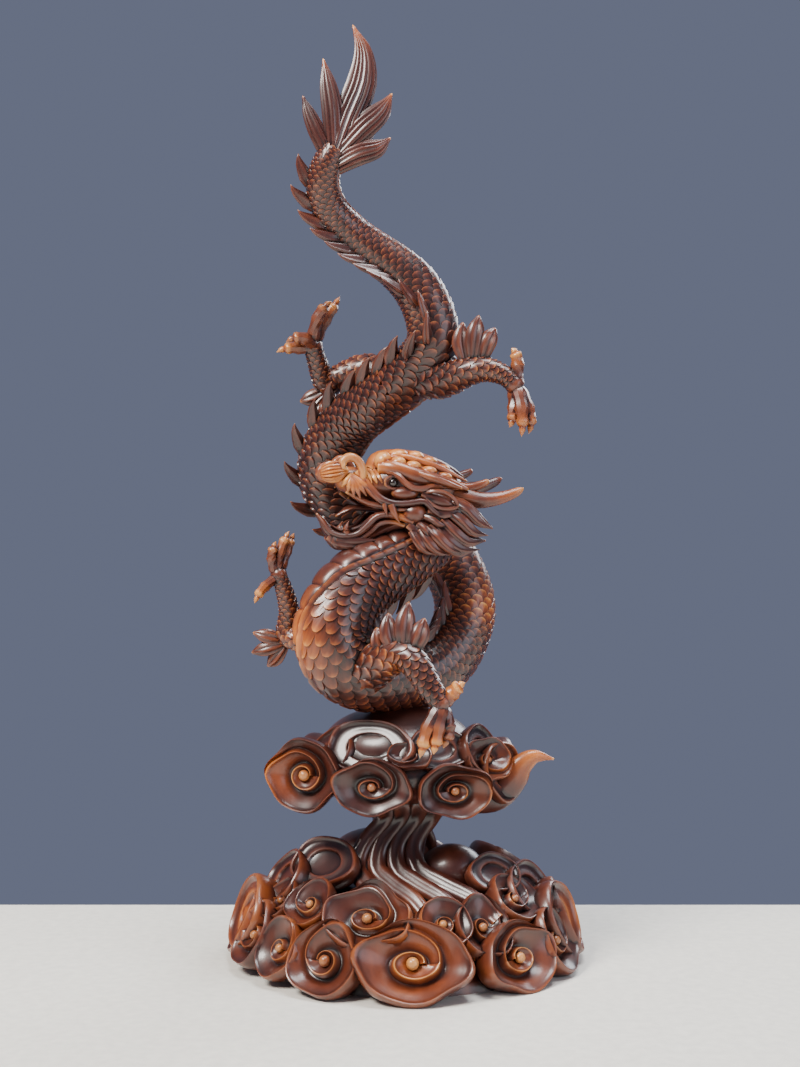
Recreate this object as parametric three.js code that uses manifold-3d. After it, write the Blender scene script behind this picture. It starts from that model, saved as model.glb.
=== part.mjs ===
// A carved hardwood dragon that climbs out of its own plinth of clouds.
//
// Millimetres, +Z up, +X to the viewer's right, -Y to the front. The origin is the centre of
// the plinth's underside. The dragon and the plinth are two carvings; its eyes are two beads
// let into sockets. Scales, grain and fine tool work are left to the surface finish.

import * as THREE from "three";
import { mergeVertices } from "three/addons/utils/BufferGeometryUtils.js";
import Module from "manifold-3d";

const wasm = await Module();
wasm.setup();

// ---- Driving dimensions ---------------------------------------------------------------------

const TOTAL_HEIGHT = 300; // underside to the tip of the tail flame
const BASE_RADIUS = 55; // cloud mound at the floor, out to the rims of its lobes
const MOUND_HEIGHT = 36;
const FIT_GAP = 0.3; // between a piece and the seat cut for it
const EYE_RADIUS = 1.5;
const FIN_PITCH = 8;

const TAU = Math.PI * 2;
const UP = [0, 0, 1];
const FRONT = [0, -1, 0];

// ---- Geometry helpers -----------------------------------------------------------------------

const SLIVER = 0.06; // edges shorter than this are closed up after the pieces are joined
const POINTED = 0.6; // a form that ends narrower than this half width runs out to a point

const vector = (p) => new THREE.Vector3(p[0], p[1], p[2]);

/** A closed three.js geometry as a solid that can be joined and cut. */
function solid(geometry) {
  const bare = geometry.clone();
  bare.deleteAttribute("normal");
  bare.deleteAttribute("uv");
  const merged = mergeVertices(bare, 1e-4);
  const vertProperties = Float32Array.from(merged.attributes.position.array);
  const triVerts = Uint32Array.from(merged.index.array);
  return new wasm.Manifold(new wasm.Mesh({ numProp: 3, vertProperties, triVerts }));
}

/** A geometry from a list of points and a list of triangles. */
function faceted(points, triangles) {
  const geometry = new THREE.BufferGeometry();
  geometry.setAttribute("position", new THREE.Float32BufferAttribute(points.flat(), 3));
  geometry.setIndex(triangles.flat());
  return geometry;
}

/** Closed skin over a stack of rings that all have the same number of points. */
function skinRings(rings, startPoint, endPoint) {
  const sides = rings[0].length;
  const points = [startPoint, ...rings.flat(), endPoint];
  const last = points.length - 1;
  const triangles = [];
  for (let j = 0; j < sides; j++) {
    const k = (j + 1) % sides;
    triangles.push([0, 1 + k, 1 + j]);
    for (let i = 0; i + 1 < rings.length; i++) {
      const a = 1 + i * sides;
      const b = a + sides;
      triangles.push([a + j, a + k, b + k], [a + j, b + k, b + j]);
    }
    const tail = last - sides;
    triangles.push([last, tail + j, tail + k]);
  }
  return faceted(points, triangles);
}

/**
 * A carved form drawn along a curve. Each station is [x, y, z, half width, half thickness].
 * `up` is the direction that the thickness faces, one vector or one for each station.
 * `groove` draws every other side in, which leaves flutes along the form.
 */
function loft(stations, { up = UP, sides = 6, steps = stations.length * 2 - 2, groove = 0 } = {}) {
  const curve = new THREE.CatmullRomCurve3(stations.map(vector), false, "centripetal");
  const spans = stations.length - 1;
  const rings = [];
  for (let i = 0; i <= steps; i++) {
    const t = i / steps;
    const span = Math.min(Math.floor(t * spans), spans - 1);
    const part = t * spans - span;
    const mix = (k) => THREE.MathUtils.lerp(stations[span][k], stations[span + 1][k], part);
    const hint = Array.isArray(up[0])
      ? vector(up[span]).lerp(vector(up[span + 1]), part)
      : vector(up);
    const along = curve.getTangent(t);
    const side = new THREE.Vector3().crossVectors(hint, along).normalize();
    const lift = new THREE.Vector3().crossVectors(along, side);
    const centre = curve.getPoint(t);
    const ring = [];
    for (let j = 0; j < sides; j++) {
      const angle = (TAU * j) / sides;
      const reach = j % 2 ? 1 - groove : 1;
      ring.push(
        centre
          .clone()
          .addScaledVector(side, mix(3) * reach * Math.cos(angle))
          .addScaledVector(lift, mix(4) * reach * Math.sin(angle))
          .toArray(),
      );
    }
    rings.push(ring);
  }
  const pointed = stations.at(-1)[3] < POINTED;
  if (pointed) rings.pop();
  return solid(skinRings(rings, curve.getPoint(0).toArray(), curve.getPoint(1).toArray()));
}

/** Round form along points, with one radius for each of them, all widened by `extra`. */
function limb(points, radii, extra, options) {
  return loft(points.map((p, i) => [...p, radii[i] + extra, radii[i] + extra]), options);
}

/** Body turned about +Z from [radius, height] pairs, moved to `at`. */
function turned(profile, segments, at = [0, 0, 0]) {
  const outline = profile.map(([radius, height]) => new THREE.Vector2(radius, height));
  const geometry = new THREE.LatheGeometry(outline, segments);
  geometry.rotateX(Math.PI / 2);
  geometry.translate(...at);
  return solid(geometry);
}

const joined = (solids) => wasm.Manifold.union(solids);

// ---- Body -----------------------------------------------------------------------------------

// Head to tail: [x, y, z, radius, then the direction that the back faces].
const SPINE = [
  [13, -2, 142.5, 8.5, 0.5, 0.5, -0.7],
  [6, -9, 133, 9.5, 0.6, 0.4, -0.7],
  [-4, -14, 126.5, 10.4, 0.6, 0.4, -0.7],
  [-12.8, -18, 121.2, 11.2, 0.65, 0.35, -0.65],
  [-19, -21.5, 115, 11.5, 0.8, 0.3, -0.4],
  [-23, -23, 105.5, 11.5, 0.95, 0.25, 0],
  [-20.5, -20.5, 97, 11.3, 0.85, 0.1, 0.5],
  [-13.5, -14, 91.8, 11.2, 0.4, -0.1, 0.9],
  [-4, -5, 90.3, 11, 0, -0.3, 1],
  [7, 5, 91.2, 10.6, -0.3, -0.4, 0.85],
  [15.2, 13.5, 98, 10.3, -0.7, -0.45, 0.5],
  [19.8, 20, 109, 10.2, -0.85, -0.5, 0],
  [18, 26, 120, 10.1, -0.8, -0.5, -0.2],
  [10.5, 31, 131, 10.2, -0.4, -0.4, -0.8],
  [-2, 34, 137.5, 10.5, -0.1, -0.3, -0.95],
  [-15.5, 31, 143, 10.5, -0.4, -0.3, -0.85],
  [-24, 25, 150.5, 10.7, -0.8, -0.2, -0.5],
  [-25.5, 19, 161, 10.4, -1, -0.1, 0.1],
  [-18, 12, 173, 9.4, -0.8, -0.2, 0.5],
  [-8.5, 5, 179.5, 8.9, -0.6, -0.3, 0.75],
  [2, 0, 187.5, 8.8, -0.6, -0.5, 0.6],
  [8.5, -3, 196.5, 8.5, -0.3, -0.95, 0],
  [8, -2, 205, 8.2, -0.2, -1, -0.1],
  [3.5, 0, 215, 7.8, -0.4, -0.75, -0.5],
  [-3, 2, 222, 7.2, -0.35, -0.7, -0.6],
  [-10.5, 3, 227.5, 6.6, -0.3, -0.6, -0.7],
  [-18, 3, 233.5, 6, -0.5, -0.5, -0.6],
  [-24.3, 2, 240.5, 5.8, -0.9, -0.3, -0.2],
  [-26.8, 0, 248, 5.5, -1, -0.2, 0],
  [-25.4, -1, 255, 4.8, -1, -0.2, 0],
  [-22, -1, 261, 3.6, -1, -0.2, 0],
];
const FIRST_FIN = 3.4; // in spine stations from the head
const FIN_HEIGHT = 3; // at the thickest part of the body
const FIN_FLANK = 14; // degrees from the crest of the back fin to its foot
const BODY_SIDES = 7; // between the feet of the fin

const spineCurve = new THREE.CatmullRomCurve3(SPINE.map(vector), false, "centripetal");

/** Place, direction, back direction and radius at a fractional spine station. */
function onSpine(station) {
  const spans = SPINE.length - 1;
  const span = Math.min(Math.floor(station), spans - 1);
  const part = station - span;
  const from = SPINE[span];
  const to = SPINE[span + 1];
  const along = spineCurve.getTangent(station / spans);
  const back = vector(from.slice(4)).lerp(vector(to.slice(4)), part);
  back.addScaledVector(along, -back.dot(along)).normalize();
  const radius = THREE.MathUtils.lerp(from[3], to[3], part);
  return { at: spineCurve.getPoint(station / spans), along, back, radius };
}

/** Stations of the fins at an even pitch along the back, from the shoulders to the tail. */
function finStations() {
  const stations = [];
  let station = FIRST_FIN;
  while (station < SPINE.length - 1.6) {
    stations.push(station);
    const span = Math.floor(station);
    station += FIN_PITCH / vector(SPINE[span]).distanceTo(vector(SPINE[span + 1]));
  }
  return stations;
}

/** One section of the trunk. The crest of the back fin stands `rise` out, `shift` towards the tail. */
function trunkRing(station, rise, shift, extra) {
  const { at, along, back, radius } = onSpine(station);
  const side = new THREE.Vector3().crossVectors(along, back);
  const outAt = (degrees, reach) => {
    const angle = THREE.MathUtils.degToRad(degrees);
    return at
      .clone()
      .addScaledVector(back, reach * Math.cos(angle))
      .addScaledVector(side, reach * Math.sin(angle));
  };
  const ring = [outAt(0, radius + rise + extra).addScaledVector(along, shift).toArray()];
  const span = 360 - 2 * FIN_FLANK;
  for (let j = 0; j < BODY_SIDES; j++) {
    const degrees = FIN_FLANK + (span * j) / (BODY_SIDES - 1);
    ring.push(outAt(degrees, radius + extra).toArray());
  }
  return ring;
}

/**
 * The trunk from the neck to the tail with its back fin, a comb of flames that each rise from
 * the foot of the one before and sweep towards the tail. `extra` widens it, for a seat cut.
 */
function trunk(extra = 0) {
  const rings = [];
  for (let station = 0; station < FIRST_FIN; station += 0.8) {
    rings.push(trunkRing(station, 0, 0, extra));
  }
  for (const station of finStations()) {
    const height = FIN_HEIGHT * (0.4 + (0.6 * onSpine(station).radius) / SPINE[4][3]);
    rings.push(trunkRing(station, 0.2, 0, extra));
    rings.push(trunkRing(station + 0.25, height, FIN_PITCH * 0.6, extra));
  }
  rings.push(trunkRing(SPINE.length - 1, 0, 0, extra));
  const ends = [0, SPINE.length - 1].map((station) => onSpine(station).at.toArray());
  return solid(skinRings(rings, ...ends));
}

// ---- Tail flame -----------------------------------------------------------------------------

// Each blade: [x, y, z, half width, half thickness] from the root to the tip.
const TAIL_BLADES = [
  [[-23, -1, 258, 3.8, 2.8], [-18.8, -1.2, 269, 5.2, 2.6], [-14.2, -1, 281, 5, 2],
    [-13.8, -0.4, 291, 3, 1.3], [-17.2, 0, TOTAL_HEIGHT, 0.3, 0.3]],
  [[-23, -1.5, 260, 3, 2.2], [-23.6, -2.5, 271, 3.6, 1.9], [-25, -2.5, 280, 2.8, 1.3],
    [-26.6, -2, 288.5, 0.3, 0.3]],
  [[-24, -1, 257, 3, 2.4], [-28.6, -2, 265, 3, 1.8], [-31.2, -2, 271, 2.2, 1.2],
    [-33.2, -2, 276.5, 0.3, 0.3]],
  [[-22, -1, 258.5, 3.2, 2.6], [-14, -2, 266, 4.2, 2], [-8, -2, 271.5, 3.4, 1.4],
    [-4.4, -1.6, 277.4, 0.3, 0.3]],
  [[-22.5, -1, 255, 3, 2.6], [-15.5, -2.4, 257.6, 3.9, 2], [-9, -2.4, 259.6, 3, 1.3],
    [-4.8, -2, 263, 0.3, 0.3]],
];

function tailFlame() {
  return TAIL_BLADES.map((blade) => {
    const main = blade.length > 4;
    return loft(blade, { up: FRONT, sides: main ? 10 : 6, steps: main ? 6 : 3, groove: 0.14 });
  });
}

// ---- Legs -----------------------------------------------------------------------------------

// A leg: its line from inside the body to the wrist, its toes, and the tuft at its joint.
const LEGS = {
  hindRight: {
    line: [[3, -1, 186.5], [11, -6, 184.5], [20, -11, 187], [25, -12, 187.5], [31, -12, 185.5],
      [34.5, -12, 182.5]],
    radii: [6.5, 5.8, 4.6, 4, 3.2, 3],
    toes: [
      [[34.5, -12, 181.5], [35, -12.5, 188], [34.5, -13, 192.5], [33, -13.5, 194]],
      [[35, -12, 182], [38, -13, 176], [39.2, -14, 170.5], [38.4, -15, 167]],
      [[35, -12, 182], [36, -15, 176], [36.4, -16, 170], [36, -16.5, 166]],
      [[34, -11, 182], [34, -12.5, 176], [33.4, -14, 171.5], [32.4, -14.5, 169]],
    ],
    tuft: [
      [[19, -11, 190], [17.5, -11, 196], [18, -11, 202]],
      [[21, -12, 190.5], [21.5, -13, 198], [23, -12.5, 204]],
      [[23.5, -12, 190], [25.5, -13, 196], [28, -12.5, 200]],
    ],
    facing: FRONT,
  },
  hindLeft: {
    line: [[-2, 6, 184.5], [-13.5, 16, 190], [-22, 20, 188], [-26.5, 20, 186], [-29.5, 18, 193],
      [-31, 17, 198.5]],
    radii: [6.5, 5.6, 4.6, 4, 3.4, 3],
    toes: [
      [[-30.5, 17, 198], [-35, 16.5, 197.5], [-39.5, 15.5, 197.5], [-43, 15, 196]],
      [[-30.5, 17, 198], [-33, 13, 200], [-36.5, 12, 200.5], [-39.5, 11.5, 199]],
      [[-30.5, 17, 199], [-27.5, 17, 206], [-24, 17.5, 211.5], [-22, 18, 215]],
      [[-31, 16, 199], [-29.5, 13, 206], [-27, 12, 210.5], [-24.5, 12, 212.5]],
    ],
    tuft: [
      [[-26, 20, 184], [-30.5, 20.5, 181.5], [-35.5, 20, 180]],
      [[-26, 20, 183], [-29, 20, 178], [-33, 18.5, 174.5]],
      [[-25, 19, 183], [-26, 18, 178], [-28.5, 17, 174.5]],
    ],
    facing: FRONT,
  },
  foreRight: {
    line: [[-12.5, -24, 93], [-6.5, -31, 97.5], [-0.5, -35, 99.5], [3.5, -37, 95.5], [7.5, -38, 89],
      [10.5, -38, 85]],
    radii: [7.5, 6, 5, 4.4, 3.8, 3.3],
    toes: [
      [[10.5, -38, 85], [13.5, -39, 88], [15.5, -40, 90.5], [17.5, -40.5, 91.5]],
      [[10.5, -38.5, 84.5], [9.5, -40.5, 79], [8.5, -41.5, 73.5], [8, -42.5, 70.5]],
      [[10.5, -38.5, 84.5], [7, -40.5, 79], [5, -41.5, 73], [4, -42.5, 69.5]],
      [[10, -38, 84], [12.5, -38.5, 79], [12, -39, 75], [11, -40, 72]],
    ],
    tuft: [
      [[-1.5, -35, 99], [-5, -35, 105], [-5.4, -34, 112]],
      [[-0.5, -36, 100], [-0.6, -36.5, 107.5], [0.8, -35, 115.4]],
      [[0.6, -36, 99.5], [3.4, -37, 105], [5.6, -36, 110.5]],
      [[-2, -34, 98], [-7.4, -33, 102], [-9, -32, 107.5]],
    ],
    facing: FRONT,
  },
  foreLeft: {
    line: [[-24, -18, 101], [-33, -13, 102], [-37.6, -10, 104], [-37, -9, 111],
      [-38.6, -9, 118], [-40.4, -9, 123]],
    radii: [4.6, 3.6, 3.4, 3.3, 2.8, 2.4],
    toes: [
      [[-40.5, -9, 122], [-44, -11, 119.5], [-46.5, -12, 116.5], [-47.6, -13, 113.8]],
      [[-41, -9, 123], [-42.4, -10.4, 127.4], [-42, -11, 131], [-41, -11.2, 133.4]],
      [[-40.5, -9, 123], [-40, -9.5, 129], [-38.4, -9, 134], [-37, -8.5, 136.6]],
      [[-40, -9, 123.5], [-38.2, -7.5, 129.5], [-36.6, -7, 133.5], [-35.6, -7, 136]],
    ],
    tuft: [
      [[-38, -9, 102], [-43, -10, 103], [-48.5, -10, 104.5]],
      [[-38, -9, 101], [-43.5, -9.5, 99.5], [-49, -9, 98]],
      [[-38, -9, 100.5], [-41, -8.5, 96.5], [-44, -8, 93.5]],
    ],
    facing: FRONT,
  },
};
const TOE_SHARES = [0.62, 0.66, 0.48, 0.12]; // of the wrist's radius, root to claw
const TUFT_SHARES = [0.45, 0.6, 0.08]; // half widths, of the knee's radius

function leg({ line, radii, toes, tuft, facing }, extra = 0) {
  const wrist = radii.at(-1);
  const knee = radii.at(-3);
  const toeSolids = toes.map((toe) => {
    const toeRadii = TOE_SHARES.map((share) => share * wrist);
    return limb(toe, toeRadii, extra, { sides: 4, steps: 3 });
  });
  const petals = tuft.map((petal) => {
    const stations = petal.map((p, i) => [...p, TUFT_SHARES[i] * knee, TUFT_SHARES[i] * knee * 0.6]);
    return loft(stations, { up: facing, sides: 4, steps: 2 });
  });
  return [limb(line, radii, extra, { sides: 6, steps: 6 }), ...toeSolids, ...petals];
}

// ---- Head -----------------------------------------------------------------------------------

const HEAD_CENTRE = [6, -10, 152];
const HEAD_TURN = THREE.MathUtils.degToRad(14); // towards the front
const EYE_SEAT = [12.5, 9, -0.5];

/** Head coordinates [towards the nose, out to the near side, up] to the object's frame. */
function headPoint([nose, out, up]) {
  return [
    HEAD_CENTRE[0] - Math.cos(HEAD_TURN) * nose + Math.sin(HEAD_TURN) * out,
    HEAD_CENTRE[1] - Math.sin(HEAD_TURN) * nose - Math.cos(HEAD_TURN) * out,
    HEAD_CENTRE[2] + up,
  ];
}
const headSide = [Math.sin(HEAD_TURN), -Math.cos(HEAD_TURN), 0];

/** A loft whose stations are in head coordinates; `flip` is -1 for the far side. */
function headLoft(stations, options = {}, flip = 1) {
  const placed = stations.map(([nose, out, up, width, thickness]) => [
    ...headPoint([nose, out * flip, up]),
    width,
    thickness,
  ]);
  return loft(placed, options);
}

// Forms on the head's middle line: [nose, out, up, half width, half thickness].
const SKULL = [[17, 0, -1, 7, 4.5], [12, 0, 0, 9.5, 8], [5, 0, -0.8, 11.5, 9.4],
  [-5, 0, -2.6, 11, 8.4], [-12, 0, -3.5, 7, 5]];
const SNOUT = [[12, 0, -1, 8.5, 6], [18, 0, -1.2, 7.4, 5], [24, 0, 0.4, 6.2, 4.6], [29, 0, 1.4, 4.4, 3.4]];
const LOWER_JAW = [[6, 0, -12, 9, 3.6], [14, 0, -14.6, 7.4, 3], [21, 0, -18.4, 5.6, 2],
  [27, 0, -18.6, 4.2, 1.7], [31, 0, -16, 2.6, 1.6], [34.3, 0, -11.4, 0.8, 0.7]];
const TONGUE = [[8, 0, -9.5, 3, 1.1], [17, 0, -8.4, 2.9, 1], [23, 0, -8.4, 2.4, 0.8],
  [28.5, 0, -10.6, 0.5, 0.4]];
const CROWN = [[16.5, 0, 4, 2.6, 2], [14, 0, 8, 3.4, 2.2], [8, 0, 9, 4, 2], [0, 0, 7.6, 3.6, 1.8],
  [-7.5, 0, 4, 2.2, 1.4], [-12.5, 0, 1.6, 0.4, 0.4]];

// Forms that the head has on both sides.
const PAIRED_FORMS = [
  { name: "brow", up: UP, sides: 5,
    line: [[18.5, 6, 3.6, 1.4, 1.2], [15, 8, 5.6, 2.4, 1.8], [9, 9.6, 5, 2.8, 2], [2, 10.4, 2.4, 2.6, 1.8],
      [-5, 10.6, 0, 1.8, 1.4], [-9.5, 10.6, -1.6, 0.4, 0.4]] },
  { name: "lip", up: headSide, sides: 4,
    line: [[22.5, 6.6, 1.5, 1, 1], [17, 8.6, -4, 1.3, 1.2], [13, 9.8, -6.8, 1.4, 1.2],
      [6, 12, -6.8, 1.4, 1.2], [-1.5, 12.6, -10.6, 1.5, 1.2], [-6, 12, -10, 0.4, 0.4]] },
  { name: "noseFan", up: headSide, sides: 6, groove: 0.16,
    line: [[25.5, 3, 3, 2.8, 2.6], [29.5, 3.2, 2.6, 3.8, 2.8], [33.4, 2.2, 1.2, 2, 1.6]] },
  { name: "lowerFan", up: headSide, sides: 6, groove: 0.16,
    line: [[26.5, 5.6, 1.6, 1.6, 1.4], [24, 6.8, -1.4, 2.4, 1.4], [21.5, 7.6, -4.8, 0.7, 0.6]] },
  { name: "jawRail", up: UP, sides: 4,
    line: [[8, 9.6, -12, 1.6, 1.4], [14, 8.4, -11, 1.4, 1.4], [20, 6.8, -14.2, 1.2, 1.2],
      [26, 4.8, -16.8, 1.1, 1.1], [31, 2.6, -14.6, 1, 1], [34.5, 0.6, -10.4, 0.5, 0.5]] },
  { name: "ear", up: headSide, sides: 5,
    line: [[3.5, 12, -4.6, 1, 1.4], [0, 13.4, -5.4, 2.6, 1.5], [-4, 14.4, -6.4, 2.2, 1.2],
      [-7, 15, -7.6, 0.4, 0.4]] },
];
const HORN = [[-6, 6.6, -3.4, 3.4, 3.4], [-11, 8, -5, 3.2, 3.2], [-16, 9, -5.8, 2.8, 2.7],
  [-22, 10, -4.8, 2.1, 2], [-28, 11, -2.6, 0.7, 0.7]];
const HORN_TINE = [[-8, 6.8, -1.8, 2, 2], [-14, 8, -1.6, 1.5, 1.4], [-17.8, 9, 0.2, 0.3, 0.3]];
const FAR_HORN_LIFT = 4; // the head leans a little, so the far horn stands higher

// Mane locks behind the cheek: root, middle and tip in head coordinates.
const MANE_LOCKS = [
  [[-3, 12, -6, 2.2], [-10, 13.6, -9.6, 2.2], [-18, 13.4, -15, 0.4]],
  [[-2, 12, -9, 2.4], [-9, 14, -14.6, 2.4], [-16.5, 12.8, -17.6, 0.4]],
  [[0, 11.5, -11, 2.6], [-6, 13.6, -17.4, 2.5], [-15, 11.6, -19.4, 0.4]],
  [[3, 11, -12, 2.6], [-2, 13.2, -18.6, 2.4], [-9, 13, -22.8, 0.4]],
  [[6, 10.5, -12.5, 2.4], [2.5, 12.4, -18, 2.3], [-4, 12, -22.6, 0.4]],
  [[9.5, 10, -12.5, 2], [6.5, 11.6, -17.6, 1.9], [1, 11.4, -22.2, 0.4]],
];

const FAR_LOCKS = 4; // the far side is hidden by the body behind it, and is plainer

function headSolids() {
  const middle = [
    headLoft(SKULL, { sides: 8, steps: 5 }),
    headLoft(SNOUT, { sides: 8, steps: 3 }),
    headLoft(LOWER_JAW, { sides: 6, steps: 5 }),
    headLoft(TONGUE, { sides: 4, steps: 3 }),
    headLoft(CROWN, { sides: 6, steps: 5 }),
  ];
  const paired = [1, -1].flatMap((flip) => {
    const horn = (stations) => {
      const lift = flip < 0 ? FAR_HORN_LIFT : 0;
      const lifted = stations.map(([nose, out, up, ...size]) => [nose, out, up + lift, ...size]);
      return headLoft(lifted, { sides: 6, steps: lifted.length - 1 }, flip);
    };
    const forms = PAIRED_FORMS.map(({ line, up, sides, groove }) => {
      return headLoft(line, { up, sides, groove, steps: line.length - 1 }, flip);
    });
    const shown = flip > 0 ? MANE_LOCKS : MANE_LOCKS.slice(0, FAR_LOCKS);
    const locks = shown.map((lock) => {
      const stations = lock.map(([nose, out, up, width]) => [nose, out, up, width, width * 0.6]);
      return headLoft(stations, { up: headSide, sides: 4, steps: 2 }, flip);
    });
    return [...forms, ...locks, horn(HORN), horn(HORN_TINE), nostril(flip)];
  });
  return [...middle, ...paired];
}

/** Rolled rim of a nostril, open in the middle. */
function nostril(flip) {
  const rim = new THREE.TorusGeometry(2.5, 1.1, 4, 7);
  rim.lookAt(vector(headSide));
  rim.translate(...headPoint([24.6, 5.8 * flip, 3.6]));
  return solid(rim);
}

function eyeBead(flip, radius) {
  const bead = new THREE.SphereGeometry(radius, 8, 5);
  const place = headPoint([EYE_SEAT[0], EYE_SEAT[1] * flip, EYE_SEAT[2]]);
  bead.rotateX(Math.PI / 2);
  bead.translate(...place);
  return solid(bead);
}

// ---- Clouds ---------------------------------------------------------------------------------

const SPIRAL_START = 0.2; // where the crest begins, as a share of the lobe's radius
const CREST_WIDTH = 0.09; // from a crest to the foot of its outer wall
const LOBE_DEPTH = 1.1; // how far a lobe reaches back, as a share of its smaller half axis

/** Unit direction at an azimuth from +X towards +Y and an elevation, both in degrees. */
function direction(azimuth, elevation) {
  const a = THREE.MathUtils.degToRad(azimuth);
  const e = THREE.MathUtils.degToRad(elevation);
  return new THREE.Vector3(Math.cos(e) * Math.cos(a), Math.cos(e) * Math.sin(a), Math.sin(e));
}

/**
 * A scrolled cloud lobe: a disc whose surface winds in to a knob. Along each turn the crest
 * stands at the outer edge, drops outwards as a short wall, and falls inwards as a long slope
 * to the foot of the next turn in. `turns` counts them, `hand` is -1 for a mirrored scroll.
 */
function cloudLobe({ at, facing, wide, tall, turns = 1, hand = 1 }) {
  const columns = wide > 10 ? 10 : 7;
  const spiralEnd = Math.round(columns * turns);
  const total = spiralEnd + columns;
  const crestHeight = Math.min(wide, tall) * 0.2;
  const crestRadius = (i) => Math.min(1, SPIRAL_START + ((1 - SPIRAL_START) * i) / spiralEnd);
  const place = (radius, i, height) => [
    hand * wide * radius * Math.cos((TAU * i) / columns),
    tall * radius * Math.sin((TAU * i) / columns),
    height,
  ];

  const points = [[0, 0, crestHeight * 1.3]];
  for (let i = 0; i <= total; i++) {
    const radius = crestRadius(i);
    const inSpiral = i < spiralEnd;
    points.push(place(radius, i, crestHeight));
    points.push(place(Math.min(1, radius + CREST_WIDTH), i, inSpiral ? 0 : crestHeight));
  }
  const crest = (i) => 1 + 2 * i;
  const foot = (i) => 2 + 2 * i;
  const triangles = [[0, foot(0), crest(0)], [0, crest(columns), foot(0)]];
  for (let i = 0; i < total; i++) {
    const inner = i < columns ? 0 : foot(i - columns);
    triangles.push([inner, crest(i), crest(i + 1)]);
    if (i >= columns) triangles.push([inner, crest(i + 1), foot(i + 1 - columns)]);
    if (i < spiralEnd) {
      triangles.push([crest(i), foot(i), foot(i + 1)], [crest(i), foot(i + 1), crest(i + 1)]);
    }
  }

  const backPoint = points.push([0, 0, -LOBE_DEPTH * Math.min(wide, tall)]) - 1;
  for (let i = spiralEnd; i < total; i++) triangles.push([crest(i), backPoint, crest(i + 1)]);

  const whole = triangles.filter(([a, b, c]) => !touching(points, a, b, c));
  const shell = faceted(points, hand > 0 ? whole : whole.map(([a, b, c]) => [a, c, b]));
  return solid(shell.applyMatrix4(facingFrame(at, facing)));
}

/** Placement whose +Z is `facing` and whose +Y points as far up as it can. */
function facingFrame(at, facing) {
  const outward = facing.clone().normalize();
  const across = new THREE.Vector3().crossVectors(vector(UP), outward).normalize();
  const upward = new THREE.Vector3().crossVectors(outward, across);
  return new THREE.Matrix4().makeBasis(across, upward, outward).setPosition(...at);
}

/** True when two corners of a triangle fall on the same place. */
function touching(points, ...corners) {
  const [a, b, c] = corners.map((corner) => vector(points[corner]));
  const near = 1e-3;
  return a.distanceTo(b) < near || b.distanceTo(c) < near || c.distanceTo(a) < near;
}

/** A plain lobe of the rear: a shallow cone of a disc with no scroll. */
function plainLobe({ at, facing, wide, tall }) {
  const rim = new THREE.CylinderGeometry(0.55, 1, 1, 7, 1);
  const depth = Math.min(wide, tall) * 0.6;
  rim.rotateX(Math.PI / 2);
  rim.scale(wide, tall, depth);
  rim.applyMatrix4(facingFrame(at, facing));
  return solid(rim);
}

/** A smooth swelling of cloud: an ellipsoid with half axes `size`. */
function swell(at, size, segments = 8) {
  const geometry = new THREE.SphereGeometry(1, segments, Math.round(segments * 0.5));
  geometry.rotateX(Math.PI / 2);
  geometry.scale(...size);
  geometry.translate(...at);
  return solid(geometry);
}

// Lobes of the mound: azimuth, distance from the axis, height, half width, half height,
// elevation that they face, turns of the scroll, hand.
const MOUND_LOBES = [
  [-88, 49, 10, 17, 12, 29, 1.5, 1],
  [-118, 49.5, 9, 11, 10.5, 26, 1, -1],
  [-138, 50, 10.5, 8.5, 9.5, 27, 1, 1],
  [-155, 50, 11, 8.5, 10, 28, 1, -1],
  [-176, 48, 11.5, 12, 12.5, 25, 1, 1],
  [-106, 40, 20.5, 13, 9, 45, 1.5, 1],
  [-133, 40, 24, 8, 7.5, 45, 1, -1],
  [-154, 41, 22, 7, 6.5, 45, 1, 1],
  [-75, 40, 19, 8.5, 7, 42, 1, -1],
  [-58, 42, 17, 8.5, 9.5, 40, 1, 1],
  [-48, 49, 8, 13.5, 10, 24, 1, -1],
  [-25, 49.5, 9, 9.5, 9.5, 27, 1, 1],
  [-4, 48, 12, 12, 12.5, 25, 1, -1],
  [-30, 38, 23, 10, 8.5, 50, 1, 1],
  [-152, 28, 30.5, 11, 8.5, 62, 1, 1],
];
const REAR_LOBES = { from: 10, to: 170, lower: 6, upper: 3 };

// Lobes of the upper cloud: centre, azimuth and elevation faced, half width, half height,
// turns, hand.
const UPPER_LOBES = [
  [[-31, -20, 61], -106, 5, 11.6, 11, 1.5, 1],
  [[-10.4, -27, 58.5], -96, 0, 12, 8.4, 1, 1],
  [[14.8, -25, 57], -82, 0, 11.6, 8.2, 1.5, -1],
  [[25, -17, 65], -60, 25, 8, 7, 1, 1],
  [[1, -26, 67.5], -90, 35, 7, 4.5, 1, -1],
];

// Plain lobes round its rear: centre, azimuth faced, half width, half height.
const UPPER_REAR_LOBES = [
  [[30, 4, 60], 10, 9, 9],
  [[16, 22, 59], 60, 11, 9],
  [[-8, 25, 59], 100, 12, 9],
  [[-29, 10, 60], 160, 11, 9.5],
];

const STRANDS = [[1, 4], [-1, 3]]; // side of the column, and how many rise on it
const COLUMN = [[-3, 0, 20, 12, 11], [-4, -1, 30, 10, 9], [-2, 0, 40, 9, 9], [1, 0, 54, 13, 12]];

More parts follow.
